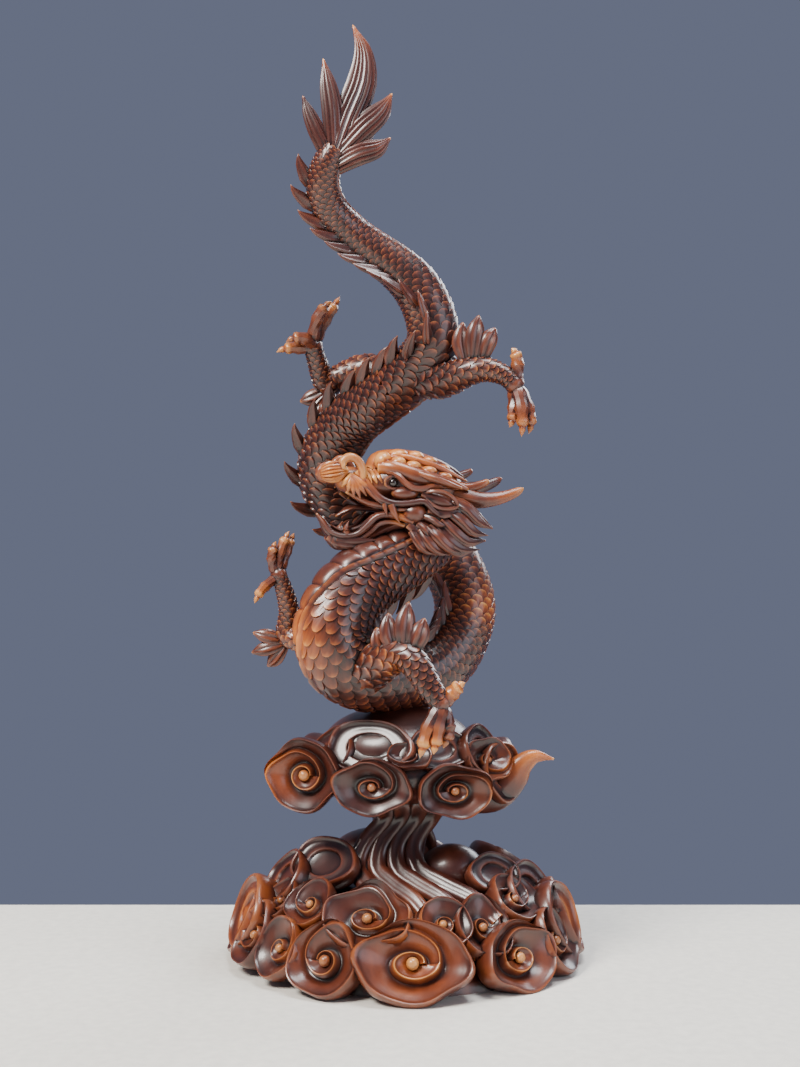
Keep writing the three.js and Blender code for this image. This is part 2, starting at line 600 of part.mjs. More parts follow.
/** Vapour strands that rise from the mound in an S and spread under the upper cloud. */
function pillar() {
  const strands = [];
  for (const [side, count] of STRANDS) {
    for (let i = 0; i < count; i++) {
      const stations = [
        [-6 + 9.7 * i, -27, 20.5, 2.6, 1.6],
        [-12 + 7.8 * i, -20, 25.5, 3.2, 2.2],
        [-15.5 + 6.4 * i, -14.5, 30.5, 3.4, 2.6],
        [-13 + 5.2 * i, -10.5, 38, 3.2, 2.6],
        [-6.5 + 4.8 * i, -9.5, 46, 3.2, 2.6],
        [-8 + 6.5 * i, -13, 53, 4, 3],
      ].map(([x, y, z, ...size]) => [side > 0 ? x : -4 - 0.75 * x, side * y, z, ...size]);
      strands.push(loft(stations, { up: [0, -side, 0.3], sides: 3, steps: 5 }));
    }
  }
  return [loft(COLUMN, { up: FRONT, sides: 7, steps: 3 }), ...strands];
}

function mound() {
  const core = turned(
    [[0, 0], [BASE_RADIUS - 9, 0], [BASE_RADIUS - 12, 11], [32, 23], [17, 32],
      [0, MOUND_HEIGHT - 3]],
    12,
  );
  const front = MOUND_LOBES.map(([azimuth, reach, height, wide, tall, tilt, turns, hand]) => {
    const at = direction(azimuth, 0).multiplyScalar(reach).setZ(height).toArray();
    return cloudLobe({ at, facing: direction(azimuth, tilt), wide, tall, turns, hand });
  });
  const rear = [];
  const rearRow = (count, reach, height, wide, tall, tilt) => {
    for (let i = 0; i < count; i++) {
      const azimuth = THREE.MathUtils.lerp(REAR_LOBES.from, REAR_LOBES.to, (i + 0.5) / count);
      const at = direction(azimuth, 0).multiplyScalar(reach).setZ(height).toArray();
      rear.push(plainLobe({ at, facing: direction(azimuth, tilt), wide, tall }));
    }
  };
  rearRow(REAR_LOBES.lower, 49, 10, 13, 12, 26);
  rearRow(REAR_LOBES.upper, 37, 24, 13, 9, 48);
  const domes = [
    swell([15, -15, 31], [12, 9, 7]),
    swell([-8, 14, 31], [16, 11, 7.5]),
    swell([-45, 4, 9], [10, 13, 13]),
    swell([45, 4, 9], [10, 13, 13]),
  ];
  return [core, ...front, ...rear, ...domes];
}

function upperCloud() {
  const swells = [
    swell([-2, 0, 60.5], [34, 26, 11.5], 10),
    swell([-2.5, -1, 67.5], [24.5, 23, 13], 10),
  ];
  const lobes = UPPER_LOBES.map(([at, azimuth, tilt, wide, tall, turns, hand]) => {
    return cloudLobe({ at, facing: direction(azimuth, tilt), wide, tall, turns, hand });
  });
  const rear = UPPER_REAR_LOBES.map(([at, azimuth, wide, tall]) => {
    return plainLobe({ at, facing: direction(azimuth, 0), wide, tall });
  });
  const wisp = loft(
    [[16, -13, 54, 6, 5], [28, -12, 54, 5.6, 4.6], [33.4, -12, 58.6, 4.8, 3.8], [36.2, -12, 63, 3.8, 3],
      [40.4, -12, 65.6, 2.4, 2], [46.8, -12, 64.8, 0.3, 0.3]],
    { up: FRONT, sides: 6, steps: 5 },
  );
  return [...swells, ...lobes, ...rear, wisp];
}

// ---- Assembly -------------------------------------------------------------------------------

/** The largest body of a solid, with slivers closed up and sealed pockets filled. */
function oneBody(whole) {
  const bodies = whole.simplify(SLIVER).decompose();
  return bodies.reduce((kept, body) => (body.volume() > kept.volume() ? body : kept));
}

function mesh(name, body, material) {
  const { vertProperties, triVerts } = body.getMesh();
  const geometry = new THREE.BufferGeometry();
  geometry.setAttribute("position", new THREE.BufferAttribute(vertProperties, 3));
  geometry.setIndex(new THREE.BufferAttribute(triVerts, 1));
  geometry.computeVertexNormals();
  const made = new THREE.Mesh(geometry, material);
  made.name = name;
  return made;
}

const lacqueredWood = new THREE.MeshStandardMaterial({
  color: 0x5a2a1a,
  roughness: 0.35,
  metalness: 0,
});
const blackGlass = new THREE.MeshStandardMaterial({ color: 0x0a0806, roughness: 0.1, metalness: 0 });

const carved = joined([
  trunk(),
  ...tailFlame(),
  ...Object.values(LEGS).flatMap(leg),
  ...headSolids(),
]);
const eyeSockets = joined([1, -1].map((flip) => eyeBead(flip, EYE_RADIUS + FIT_GAP)));
const dragonBody = oneBody(carved.subtract(eyeSockets));

const floorCut = new THREE.BoxGeometry(4 * BASE_RADIUS, 4 * BASE_RADIUS, BASE_RADIUS);
floorCut.translate(0, 0, -BASE_RADIUS / 2);
const clouds = joined([...mound(), ...pillar(), ...upperCloud()]);
const seat = joined([trunk(FIT_GAP), ...leg(LEGS.foreRight, FIT_GAP)]);
const plinthBody = oneBody(clouds.subtract(joined([solid(floorCut), seat])));

const sculpture = new THREE.Group();
sculpture.add(mesh("dragon", dragonBody, lacqueredWood));
sculpture.add(mesh("cloud_plinth", plinthBody, lacqueredWood));
sculpture.add(mesh("eye_left", eyeBead(1, EYE_RADIUS), blackGlass));
sculpture.add(mesh("eye_right", eyeBead(-1, EYE_RADIUS), blackGlass));

export default sculpture;
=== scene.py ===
import math

import bpy
import numpy as np
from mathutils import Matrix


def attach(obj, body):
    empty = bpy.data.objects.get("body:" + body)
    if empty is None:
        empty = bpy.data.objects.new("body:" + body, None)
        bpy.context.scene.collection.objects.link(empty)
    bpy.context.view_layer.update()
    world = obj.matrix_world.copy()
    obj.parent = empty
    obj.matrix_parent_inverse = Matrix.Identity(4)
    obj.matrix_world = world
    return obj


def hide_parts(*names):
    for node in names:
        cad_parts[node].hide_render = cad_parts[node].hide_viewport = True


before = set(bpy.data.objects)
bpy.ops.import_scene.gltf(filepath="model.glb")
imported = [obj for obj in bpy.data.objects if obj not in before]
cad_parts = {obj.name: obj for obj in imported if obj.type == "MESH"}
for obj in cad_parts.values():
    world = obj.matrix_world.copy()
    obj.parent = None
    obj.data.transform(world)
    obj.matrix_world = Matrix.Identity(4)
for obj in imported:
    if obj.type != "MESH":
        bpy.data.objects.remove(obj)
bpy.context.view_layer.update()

# Shapes are laid out in millimetres, in the object's own frame, and become metres at the end.

MM = 0.001
TAU = 2 * math.pi
UP = (0, 0, 1)
FRONT = (0, -1, 0)
TOTAL_HEIGHT = 300

# ---- Curves and closed meshes ---------------------------------------------------------------


def unit(v):
    v = np.asarray(v, float)
    return v / np.maximum(np.linalg.norm(v, axis=-1, keepdims=True), 1e-12)


def curve(points, t):
    """Centripetal curve through points: places and unit tangents at t, 0 to 1."""
    p = np.asarray(points, float)
    spans = len(p) - 1
    p = np.vstack([2 * p[0] - p[1], p, 2 * p[-1] - p[-2]])
    place = np.clip(t, 0, 1) * spans
    i = np.minimum(place.astype(int), spans - 1)
    w = (place - i)[:, None]
    a, b, c, d = p[i], p[i + 1], p[i + 2], p[i + 3]
    gap = [np.maximum(((u - v) ** 2).sum(1), 1e-9)[:, None] ** 0.25 for u, v in ((a, b), (b, c), (c, d))]
    out = ((b - a) / gap[0] - (c - a) / (gap[0] + gap[1]) + (c - b) / gap[1]) * gap[1]
    into = ((c - b) / gap[1] - (d - b) / (gap[1] + gap[2]) + (d - c) / gap[2]) * gap[1]
    square = 3 * (c - b) - 2 * out - into
    cube = 2 * (b - c) + out + into
    at = b + out * w + square * w**2 + cube * w**3
    return at, unit(out + 2 * square * w + 3 * cube * w**2)


def eased(rows, t):
    """Smooth values through rows at t, 0 to 1, without overshoot."""
    rows = np.asarray(rows, float)
    spans = len(rows) - 1
    place = np.clip(t, 0, 1) * spans
    i = np.minimum(place.astype(int), spans - 1)
    w = (place - i)[:, None]
    padded = np.vstack([rows[0], rows, rows[-1]])
    a, b, c, d = padded[i], padded[i + 1], padded[i + 2], padded[i + 3]
    value = b + 0.5 * w * (c - a + w * (2 * a - 5 * b + 4 * c - d + w * (3 * (b - c) + d - a)))
    return np.clip(value, np.minimum(b, c), np.maximum(b, c))


def outward(points, faces):
    """The same closed mesh with its faces turned outwards."""
    volume = 0.0
    for face in faces:
        for k in range(1, len(face) - 1):
            a, b, c = points[face[0]], points[face[k]], points[face[k + 1]]
            volume += a[0] * (b[1] * c[2] - b[2] * c[1])
            volume += a[1] * (b[2] * c[0] - b[0] * c[2])
            volume += a[2] * (b[0] * c[1] - b[1] * c[0])
    return (points, faces) if volume > 0 else (points, [tuple(reversed(f)) for f in faces])


def skin(grid, start, end):
    """Closed skin over rows of rings, with a point at each end."""
    rows, sides = grid.shape[:2]
    points = np.vstack([grid.reshape(-1, 3), start, end])
    first, last = rows * sides, rows * sides + 1
    index = np.arange(rows * sides).reshape(rows, sides)
    turn = np.roll(index, -1, 1)
    quads = np.stack([index[:-1], turn[:-1], turn[1:], index[1:]], -1).reshape(-1, 4)
    faces = [tuple(q) for q in quads.tolist()]
    for j in range(sides):
        k = (j + 1) % sides
        faces.append((first, k, j))
        faces.append((last, (rows - 1) * sides + j, (rows - 1) * sides + k))
    return points, faces


def loft(stations, up=UP, sides=14, steps=18, flutes=0, depth=0.15, knots=0, knot=0.12):
    """Carved form along stations [x, y, z, half width, half thickness].

    `up` is the way that its thickness faces. `flutes` cuts V grooves along it, and `knots`
    swells it that many times between its ends.
    """
    rows = np.array(stations, float)
    u = np.linspace(0, 1, steps + 1)
    t = u - 0.09 * np.sin(TAU * u)
    at, along = curve(rows[:, :3], t)
    size = np.maximum(eased(rows[:, 3:5], t), 0.03)
    if knots:
        size *= 1 + knot * np.sin(np.pi * knots * t[:, None]) ** 2
    pointed = rows[-1, 3] < 0.6
    if not pointed:
        tail = np.clip((t - 0.86) / 0.14, 0, 0.97)[:, None]
        size *= np.sqrt(1 - tail**2)
    hints = np.array(up, float)
    hint = eased(hints, t) if hints.ndim == 2 else hints[None]
    side = unit(np.cross(hint, along))
    lift = np.cross(along, side)
    angle = TAU * np.arange(sides) / sides
    reach = np.ones((len(t), sides))
    if flutes:
        cut = np.abs(np.cos(flutes * angle / 2)) ** 4
        fade = np.clip(5 * (1.03 - t), 0, 1)
        reach = reach - depth * fade[:, None] * cut[None]
    across = (size[:, :1] * reach * np.cos(angle))[..., None] * side[:, None]
    through = (size[:, 1:] * reach * np.sin(angle))[..., None] * lift[:, None]
    grid = at[:, None] + across + through
    if pointed:
        grid = grid[:-1]
    return outward(*skin(grid, at[0], at[-1]))


def limb(points, radii, **options):
    return loft([[*p, r, r] for p, r in zip(points, radii)], **options)


def ball(at, size, sides=16, rings=9):
    """Ellipsoid with half axes `size`."""
    turn = np.pi * (np.arange(rings) + 1) / (rings + 1)
    angle = TAU * np.arange(sides) / sides
    grid = np.stack(
        [
            np.sin(turn)[:, None] * np.cos(angle),
            np.sin(turn)[:, None] * np.sin(angle),
            np.cos(turn)[:, None] * np.ones(sides),
        ],
        -1,
    )
    size = np.array(size, float)
    at = np.array(at, float)
    poles = [at + size * (0, 0, 1), at - size * (0, 0, 1)]
    return outward(*skin(at + grid * size, *poles))


# ---- Scaled hide ----------------------------------------------------------------------------

SCALE_DEPTH = 0.86  # how far a scale's rim bows out, in row pitches
RIM_DROP = 0.08  # from a scale's rim to the foot of the next row, in row pitches
SCALE_HEIGHT = 0.13  # of a scale's width
SAMPLES = 6  # across one scale
BELLY_FACES = 8  # mesh rows in one belly plate
BELLY_STEPS = (0, 0.07, 0.2, 0.36, 0.54, 0.72, 0.87, 0.95)
BELLY_RISE = (0, 0.62, 0.9, 1, 0.98, 0.86, 0.6, 0.25)
BELLY_HEIGHT = 0.085  # of the trunk's radius
RAIL_RISE = ((-0.05, 0), (0.6, 0.35), (0.95, 0.6), (0.6, 0.35), (-0.05, 0))


def dense(points, radii, backs, count=900, twists=(0, 0)):
    """A centre line with arc length, direction, back direction, radius and twist along it."""
    t = np.linspace(0, 1, count)
    at, along = curve(points, t)
    back = eased(backs, t)
    back = unit(back - (back * along).sum(1)[:, None] * along)
    radius = eased(np.array(radii, float)[:, None], t)[:, 0]
    arc = np.concatenate([[0], np.cumsum(np.linalg.norm(np.diff(at, axis=0), axis=1))])
    twist = np.interp(t, np.linspace(0, 1, len(twists)), twists)
    return {"arc": arc, "at": at, "along": along, "back": back, "radius": radius, "t": t, "twist": twist}


def read(line, arc, name):
    values = line[name]
    if values.ndim == 1:
        return np.interp(arc, line["arc"], values)
    return np.stack([np.interp(arc, line["arc"], values[:, k]) for k in range(3)], -1)


def hide(line, start, end, columns, half_zone=180.0):
    """Tube of overlapping scales between two arc lengths.

    Scales fill the back and sides out to `half_zone` degrees from the back; a rail and a band
    of belly plates fill the rest where that is under 180.
    """
    whole = half_zone >= 180
    arc = np.linspace(start, end, 600)
    radius = read(line, arc, "radius")
    width = 2 * math.radians(half_zone) * radius / columns
    rows_at = np.concatenate([[0], np.cumsum(np.diff(arc) / (0.5 * (width[1:] + width[:-1]) / 2))])
    count = int(rows_at[-1]) - 2

    lane = np.arange(columns * SAMPLES + (0 if whole else 1)) / SAMPLES
    angle = -half_zone + 2 * half_zone * lane / columns

    def bow(k):
        x = 2 * ((lane + 0.5 * (k % 2)) % 1) - 1
        return np.sqrt(np.maximum(1 - x**2, 0))

    v, h = [], []
    for k in range(count):
        here = k + 1 + SCALE_DEPTH * (bow(k) - 1)
        before = k + SCALE_DEPTH * (bow(k - 1) - 1) + RIM_DROP
        rise = 0.1 + 0.9 * bow(k) ** 0.7
        v += [before, before + 0.68 * (here - before), here]
        h += [0 * rise, 0.66 * rise, rise]
    v, h = np.array(v) + 1, np.array(h)
    rows = len(v)

    scale_of = np.interp(v, rows_at, width) * SCALE_HEIGHT
    h = h * scale_of
    if not whole:
        belly = 180 - half_zone
        rail = belly * np.array([0.04, 0.09, 0.15, 0.21, 0.26])
        row = np.arange(rows)
        plain = 1 + (row + 0.5)[:, None] / 3 + np.zeros((rows, 5))
        local = np.interp(plain, rows_at, radius)
        notch = (row % 6 == 0)[:, None]
        rises = np.array(RAIL_RISE)
        rail_h = np.where(notch, rises[:, 1], rises[:, 0]) * local * 0.1
        plates = 9
        share = (np.arange(plates) + 0.5) / plates
        band = -belly + rail[-1] + 2 * (belly - rail[-1]) * share
        step = np.array(BELLY_STEPS)[row % BELLY_FACES] + row // BELLY_FACES
        plate_v = 1 + (step * BELLY_FACES / 3)[:, None] + np.zeros((rows, plates))
        arch = 1 - (2 * share - 1) ** 4 * 0.6
        local = np.interp(plate_v, rows_at, radius)
        plate_h = np.array(BELLY_RISE)[row % BELLY_FACES][:, None] * arch * local * BELLY_HEIGHT
        v = np.hstack([v, plain, plate_v, plain])
        h = np.hstack([h, rail_h, plate_h, rail_h[:, ::-1]])
        angle = np.concatenate([angle, half_zone + rail, 180 + band, 360 - half_zone - rail[::-1]])

    s = np.interp(v, rows_at, arc)
    at, along, back = (read(line, s, name) for name in ("at", "along", "back"))
    back = unit(back - (back * along).sum(-1)[..., None] * along)
    side = np.cross(unit(along), back)
    sunk = 0.56 * SCALE_HEIGHT * np.interp(v, rows_at, width)
    out = (read(line, s, "radius") - sunk + h)[..., None]
    theta = np.radians(angle)[None, :]
    theta = theta + np.radians(read(line, s, "twist")) * (1 - np.cos(theta)) / 2
    theta = theta[..., None]
    grid = at + out * (back * np.cos(theta) + side * np.sin(theta))
    ends = [grid[0].mean(0), grid[-1].mean(0)]
    return outward(*skin(grid, *ends))


# ---- Body -----------------------------------------------------------------------------------

# Head to tail: [x, y, z, radius, then the direction that the back faces].
SPINE = [
    [13, -2, 142.5, 8.5, 0.5, 0.5, -0.7],
    [6, -9, 133, 9.5, 0.52, 0.42, -0.74],
    [-4, -14, 126.5, 10.4, 0.5, 0.34, -0.78],
    [-12.8, -18, 121.2, 11.2, 0.62, 0.28, -0.74],
    [-19, -21.5, 115, 11.5, 0.88, 0.05, -0.48],
    [-23, -23, 105.5, 11.5, 1, -0.2, 0],
    [-20.5, -20.5, 97, 11.3, 0.78, -0.4, 0.48],
    [-13.5, -14, 91.8, 11.2, 0.36, -0.5, 0.8],
    [-4, -5, 90.3, 11, 0, -0.5, 0.86],
    [7, 5, 91.2, 10.6, -0.3, -0.6, 0.75],
    [15.2, 13.5, 98, 10.3, -0.6, -0.7, 0.38],
    [19.8, 20, 109, 10.2, -0.55, -0.83, 0],
    [18, 26, 120, 10.1, -0.5, -0.8, -0.3],
    [10.5, 31, 131, 10.2, -0.4, -0.6, -0.7],
    [-2, 34, 137.5, 10.5, -0.1, -0.3, -0.95],
    [-15.5, 31, 143, 10.5, -0.4, -0.3, -0.85],
    [-24, 25, 150.5, 10.7, -0.8, -0.2, -0.5],
    [-25.5, 19, 161, 10.4, -1, -0.1, 0.1],
    [-18, 12, 173, 9.4, -0.8, -0.2, 0.5],
    [-8.5, 5, 179.5, 8.9, -0.6, -0.3, 0.75],
    [2, 0, 187.5, 8.8, -0.6, -0.5, 0.6],
    [8.5, -3, 196.5, 8.5, -0.3, -0.95, 0],
    [8, -2, 205, 8.2, -0.2, -1, -0.1],
    [3.5, 0, 215, 7.8, -0.4, -0.75, -0.5],
    [-3, 2, 222, 7.2, -0.35, -0.7, -0.6],
    [-10.5, 3, 227.5, 6.6, -0.3, -0.6, -0.7],
    [-18, 3, 233.5, 6, -0.5, -0.5, -0.6],
    [-24.3, 2, 240.5, 5.8, -0.9, -0.3, -0.2],
    [-26.8, 0, 248, 5.5, -1, -0.2, 0],
    [-25.4, -1, 255, 4.8, -1, -0.2, 0],
    [-22, -1, 261, 3.6, -1, -0.2, 0],
]
# Degrees that the belly is turned out of line with the back, away from the front.
BELLY_TWIST = [0, 0, 0, 0, 0, 6, 24, 32, 30, 24, 20, 20, 28, 28, 28, 28, 30, 30, 30, 28, 26, 24, 22,
               20, 20, 20, 20, 20, 20, 20, 20]
SCALE_ZONE = 121  # degrees from the back to the rail beside the belly
HIDE_PARTS = [(0, 19.7, 11), (19.3, 30, 9)]  # from spine station to spine station, scale columns
FIN_PITCH = 7.3
FIN_START, FIN_END = 1.4, 28.6  # spine stations

spine_rows = np.array(SPINE, float)
spine = dense(spine_rows[:, :3], spine_rows[:, 3], spine_rows[:, 4:], 2400, BELLY_TWIST)


def spine_arc(station):
    return float(np.interp(station / (len(SPINE) - 1), spine["t"], spine["arc"]))


def trunk():
    """The neck, trunk and tail: scales on the back and sides, plates under the belly."""
    parts = []
    for first, last, columns in HIDE_PARTS:
        parts.append(hide(spine, spine_arc(first), spine_arc(last), columns, SCALE_ZONE))
    return parts


def fin(arc, height):
    """A fluted flame on the back, swept towards the tail."""
    at, along, back = (read(spine, np.array([arc]), name)[0] for name in ("at", "along", "back"))
    radius = float(read(spine, np.array([arc]), "radius")[0])
    side = np.cross(along, back)
    base = FIN_PITCH * 0.66
    rows = [
        [-0.6 * base, -0.3 * height - 1.6, 0.36 * base, 1.7],
        [-0.1 * base, 0.16 * height - 0.7, 0.5 * base, 1.7],
        [0.5 * base, 0.55 * height - 0.2, 0.4 * base, 1.3],
        [1.0 * base, 0.85 * height, 0.24 * base, 0.85],
        [1.5 * base, height, 0.12, 0.12],
    ]
    stations = [[*(at + along * x + back * (radius + z)), w, t] for x, z, w, t in rows]
    return loft(stations, up=side, sides=16, steps=8, flutes=5, depth=0.26)


# Heights at spine stations; the flames stand taller inside the ring and on the tail.
FIN_HEIGHTS = [(1, 4), (3, 5), (6, 5.4), (9, 5), (12, 5.4), (15, 4), (18, 4), (22, 3.4), (25, 4), (28.6, 3.6)]


def fins():
    made = []
    arc, last = spine_arc(FIN_START), spine_arc(FIN_END)
    i = 0
    while arc < last:
        station = float(np.interp(arc, spine["arc"], spine["t"])) * (len(SPINE) - 1)
        height = float(np.interp(station, *zip(*FIN_HEIGHTS)))
        radius = float(read(spine, np.array([arc]), "radius")[0])
        made.append(fin(arc, height * (1.05 if i % 2 else 0.95)))
        arc += FIN_PITCH * (0.5 + 0.5 * radius / 10.5)
        i += 1
    return made


# ---- Tail flame -----------------------------------------------------------------------------

# Each blade: [x, y, z, half width, half thickness] from the root to the tip, then its grooves.
TAIL_BLADES = [
    ([[-23, -1, 257, 3.8, 2.8], [-18.8, -1.2, 269, 5.2, 2.7], [-14.2, -1, 281, 5, 2.2],
      [-13.8, -0.4, 291, 3, 1.4], [-17.2, 0, TOTAL_HEIGHT, 0.3, 0.3]], 16),
    ([[-23, -1.5, 259, 3, 2.2], [-23.6, -2.5, 271, 3.6, 2], [-25, -2.5, 280, 2.8, 1.4],
      [-26.6, -2, 288.5, 0.3, 0.3]], 10),
    ([[-24, -1, 256, 3, 2.4], [-28.6, -2, 265, 3, 1.9], [-31.2, -2, 271, 2.2, 1.3],
      [-33.2, -2, 276.5, 0.3, 0.3]], 8),
    ([[-22, -1, 257.5, 3.2, 2.6], [-14, -2, 266, 4.2, 2.1], [-8, -2, 271.5, 3.4, 1.5],
      [-4.4, -1.6, 277.4, 0.3, 0.3]], 12),
    ([[-22.5, -1, 254, 3, 2.6], [-15.5, -2.4, 257.6, 3.9, 2.1], [-9, -2.4, 259.6, 3, 1.4],
      [-4.8, -2, 263, 0.3, 0.3]], 12),
    ([[-23, 1, 256, 2.6, 2.2], [-27, 3.5, 262, 2.8, 1.8], [-29, 5, 267, 2, 1.2],
      [-30, 6, 272, 0.3, 0.3]], 8),
    ([[-22, 1, 256, 2.6, 2.2], [-16, 4, 262, 3, 1.8], [-12, 5.5, 267, 2.2, 1.2],
      [-10.4, 6.4, 272, 0.3, 0.3]], 8),
]


def tail_flame():
    return [
        loft(blade, up=FRONT, sides=4 * grooves, steps=20, flutes=grooves, depth=0.16)
        for blade, grooves in TAIL_BLADES
    ]


# ---- Legs -----------------------------------------------------------------------------------

# A leg: its line from inside the body to the wrist, its toes, and the tuft at its joint.
LEGS = {
    "hind_right": {
        "line": [[3, -1, 186.5], [11, -6, 184.5], [20, -11, 187], [25, -12, 187.5],
                 [31, -12, 185.5], [34.5, -12, 182.5]],
        "radii": [6.5, 5.8, 4.6, 4, 3.2, 3],
        "toes": [
            [[34.5, -12, 181.5], [35, -12.5, 188], [34.5, -13, 192.5], [33, -13.5, 194]],
            [[35, -12, 182], [38, -13, 176], [39.2, -14, 170.5], [38.4, -15, 167]],
            [[35, -12, 182], [36, -15, 176], [36.4, -16, 170], [36, -16.5, 166]],
            [[34, -11, 182], [34, -12.5, 176], [33.4, -14, 171.5], [32.4, -14.5, 169]],
        ],
        "tuft": [
            [[19, -11, 189], [17.2, -11, 196], [18, -11, 202.5]],
            [[21, -12, 189.5], [21.5, -13, 198], [23, -12.5, 204.5]],
            [[23.5, -12, 189], [25.5, -13, 196], [28.2, -12.5, 200.5]],
            [[20, -9, 189], [19.4, -8.4, 196], [20.6, -8, 202]],
        ],
        "columns": 8,
    },
    "hind_left": {
        "line": [[-2, 6, 184.5], [-13.5, 16, 190], [-22, 20, 188], [-26.5, 20, 186],
                 [-29.5, 18, 193], [-31, 17, 198.5]],
        "radii": [6.5, 5.6, 4.6, 4, 3.4, 3],
        "toes": [
            [[-30.5, 17, 198], [-35, 16.5, 197.5], [-39.5, 15.5, 197.5], [-43, 15, 196]],
            [[-30.5, 17, 198], [-33, 13, 200], [-36.5, 12, 200.5], [-39.5, 11.5, 199]],
            [[-30.5, 17, 199], [-27.5, 17, 206], [-24, 17.5, 211.5], [-22, 18, 215]],
            [[-31, 16, 199], [-29.5, 13, 206], [-27, 12, 210.5], [-24.5, 12, 212.5]],
        ],
        "tuft": [
            [[-26, 20, 184], [-30.5, 20.5, 181.5], [-35.5, 20, 180]],
            [[-26, 20, 183], [-29, 20, 178], [-33, 18.5, 174.5]],
            [[-25, 19, 183], [-26, 18, 178], [-28.5, 17, 174.5]],
        ],
        "columns": 8,
    },
    "fore_right": {
        "line": [[-12.5, -24, 93], [-6.5, -31, 97.5], [-0.5, -35, 99.5], [3.5, -37, 95.5],
                 [7.5, -38, 89], [10.5, -38, 85]],
        "radii": [7.5, 6, 5, 4.4, 3.8, 3.3],
        "toes": [
            [[10.5, -38, 85], [13.5, -39, 88], [15.5, -40, 90.5], [17.5, -40.5, 91.5]],
            [[10.5, -38.5, 84.5], [9.5, -40.5, 79], [8.5, -41.5, 73.5], [8, -42.5, 70.5]],
            [[10.5, -38.5, 84.5], [7, -40.5, 79], [5, -41.5, 73], [4, -42.5, 69.5]],
            [[10, -38, 84], [12.5, -38.5, 79], [12, -39, 75], [11, -40, 72]],
        ],
        "tuft": [
            [[-1.5, -35, 98], [-5, -35, 105], [-5.4, -34, 112]],
            [[-0.5, -36, 99], [-0.6, -36.5, 107.5], [0.8, -35, 115.4]],
            [[0.6, -36, 98.5], [3.4, -37, 105], [5.6, -36, 110.5]],
            [[-2, -34, 97], [-7.4, -33, 102], [-9, -32, 107.5]],
        ],
        "columns": 8,
    },
    "fore_left": {
        "line": [[-24, -18, 101], [-33, -13, 102], [-37.6, -10, 104], [-37, -9, 111],
                 [-38.6, -9, 118], [-40.4, -9, 123]],
        "radii": [4.6, 3.6, 3.4, 3.3, 2.8, 2.4],
        "toes": [
            [[-40.5, -9, 122], [-44, -11, 119.5], [-46.5, -12, 116.5], [-47.6, -13, 113.8]],
            [[-41, -9, 123], [-42.4, -10.4, 127.4], [-42, -11, 131], [-41, -11.2, 133.4]],
            [[-40.5, -9, 123], [-40, -9.5, 129], [-38.4, -9, 134], [-37, -8.5, 136.6]],
            [[-40, -9, 123.5], [-38.2, -7.5, 129.5], [-36.6, -7, 133.5], [-35.6, -7, 136]],
        ],
        "tuft": [
            [[-38, -9, 102], [-43, -10, 103], [-48.5, -10, 104.5]],
            [[-38, -9, 101], [-43.5, -9.5, 99.5], [-49, -9, 98]],
            [[-38, -9, 100.5], [-41, -8.5, 96.5], [-44, -8, 93.5]],
        ],
        "columns": 7,
    },
}
TOE_SHARES = [0.6, 0.64, 0.55, 0.42]  # of the wrist's radius, root to claw
CLAW_FROM = 0.72  # of a toe's length
TUFT_SHARES = [0.4, 0.6, 0.76, 0.6, 0.12]  # half widths, of the knee's radius


def toe(points, wrist):
    """A knuckled toe with a curved claw."""
    t = np.linspace(0, CLAW_FROM + 0.06, 4)
    flesh, _ = curve(points, t)
    radii = np.interp(t, [0, 0.35, 0.65, 1], TOE_SHARES) * wrist
    claw, _ = curve(points, np.array([CLAW_FROM - 0.12, CLAW_FROM + 0.1, 1]))
    claw_radii = [0.3 * wrist, 0.34 * wrist, 0.1]
    return [
        limb(flesh, radii, sides=9, steps=14, knots=3, knot=0.24),
        limb(claw, claw_radii, sides=10, steps=8),
    ]


def leg(line, radii, toes, tuft, columns):
    backs = np.tile(FRONT, (len(line), 1))
    bone = dense(line, radii, backs, 500)
    made = [hide(bone, 0, bone["arc"][-1] + 1.2, columns)]
    wrist, knee = radii[-1], radii[-3]
    heading = unit(np.subtract(line[-1], line[-2]))
    palm = [np.subtract(line[-1], heading * 3.5), line[-1], np.add(line[-1], heading * 2.2)]
    made.append(limb(palm, [0.8 * wrist, 1.12 * wrist, 0.7 * wrist], sides=12, steps=10))
    for points in toes:
        made += toe(points, wrist)
    for petal in tuft:
        line_out, _ = curve(petal, np.linspace(0, 1, len(TUFT_SHARES)))
        stations = [[*p, k * knee, 0.66 * k * knee] for p, k in zip(line_out, TUFT_SHARES)]
        made.append(loft(stations, up=FRONT, sides=24, steps=12, flutes=7, depth=0.28))
    return made


# ---- Head -----------------------------------------------------------------------------------

HEAD_CENTRE = (6, -10, 152)
HEAD_TURN = math.radians(14)  # towards the front
HEAD_SIDE = (math.sin(HEAD_TURN), -math.cos(HEAD_TURN), 0)
EYE_SEAT = (12.5, 9, -0.5)
EYE_RADIUS = 1.5
FAR_HORN_LIFT = 4


def head_point(nose, out, up):
    """Head coordinates, towards the nose, out to the near side and up, to the object's frame."""
    return [
        HEAD_CENTRE[0] - math.cos(HEAD_TURN) * nose + math.sin(HEAD_TURN) * out,
        HEAD_CENTRE[1] - math.sin(HEAD_TURN) * nose - math.cos(HEAD_TURN) * out,
        HEAD_CENTRE[2] + up,
    ]


def head_loft(stations, flip=1, **options):
    placed = [[*head_point(nose, out * flip, up), w, t] for nose, out, up, w, t in stations]
    return loft(placed, **options)


def head_wire(points, radius, flip=1, **options):
    """A rounded line of one radius, running out at its end."""
    last = len(points) - 1
    stations = []
    for i, point in enumerate(points):
        r = radius * (0.75 if i == 0 else 0.2 if i == last else 1)
        stations.append([*point, r, r])
    return head_loft(stations, flip, **{"up": HEAD_SIDE, "sides": 8, "steps": 4 * last, **options})


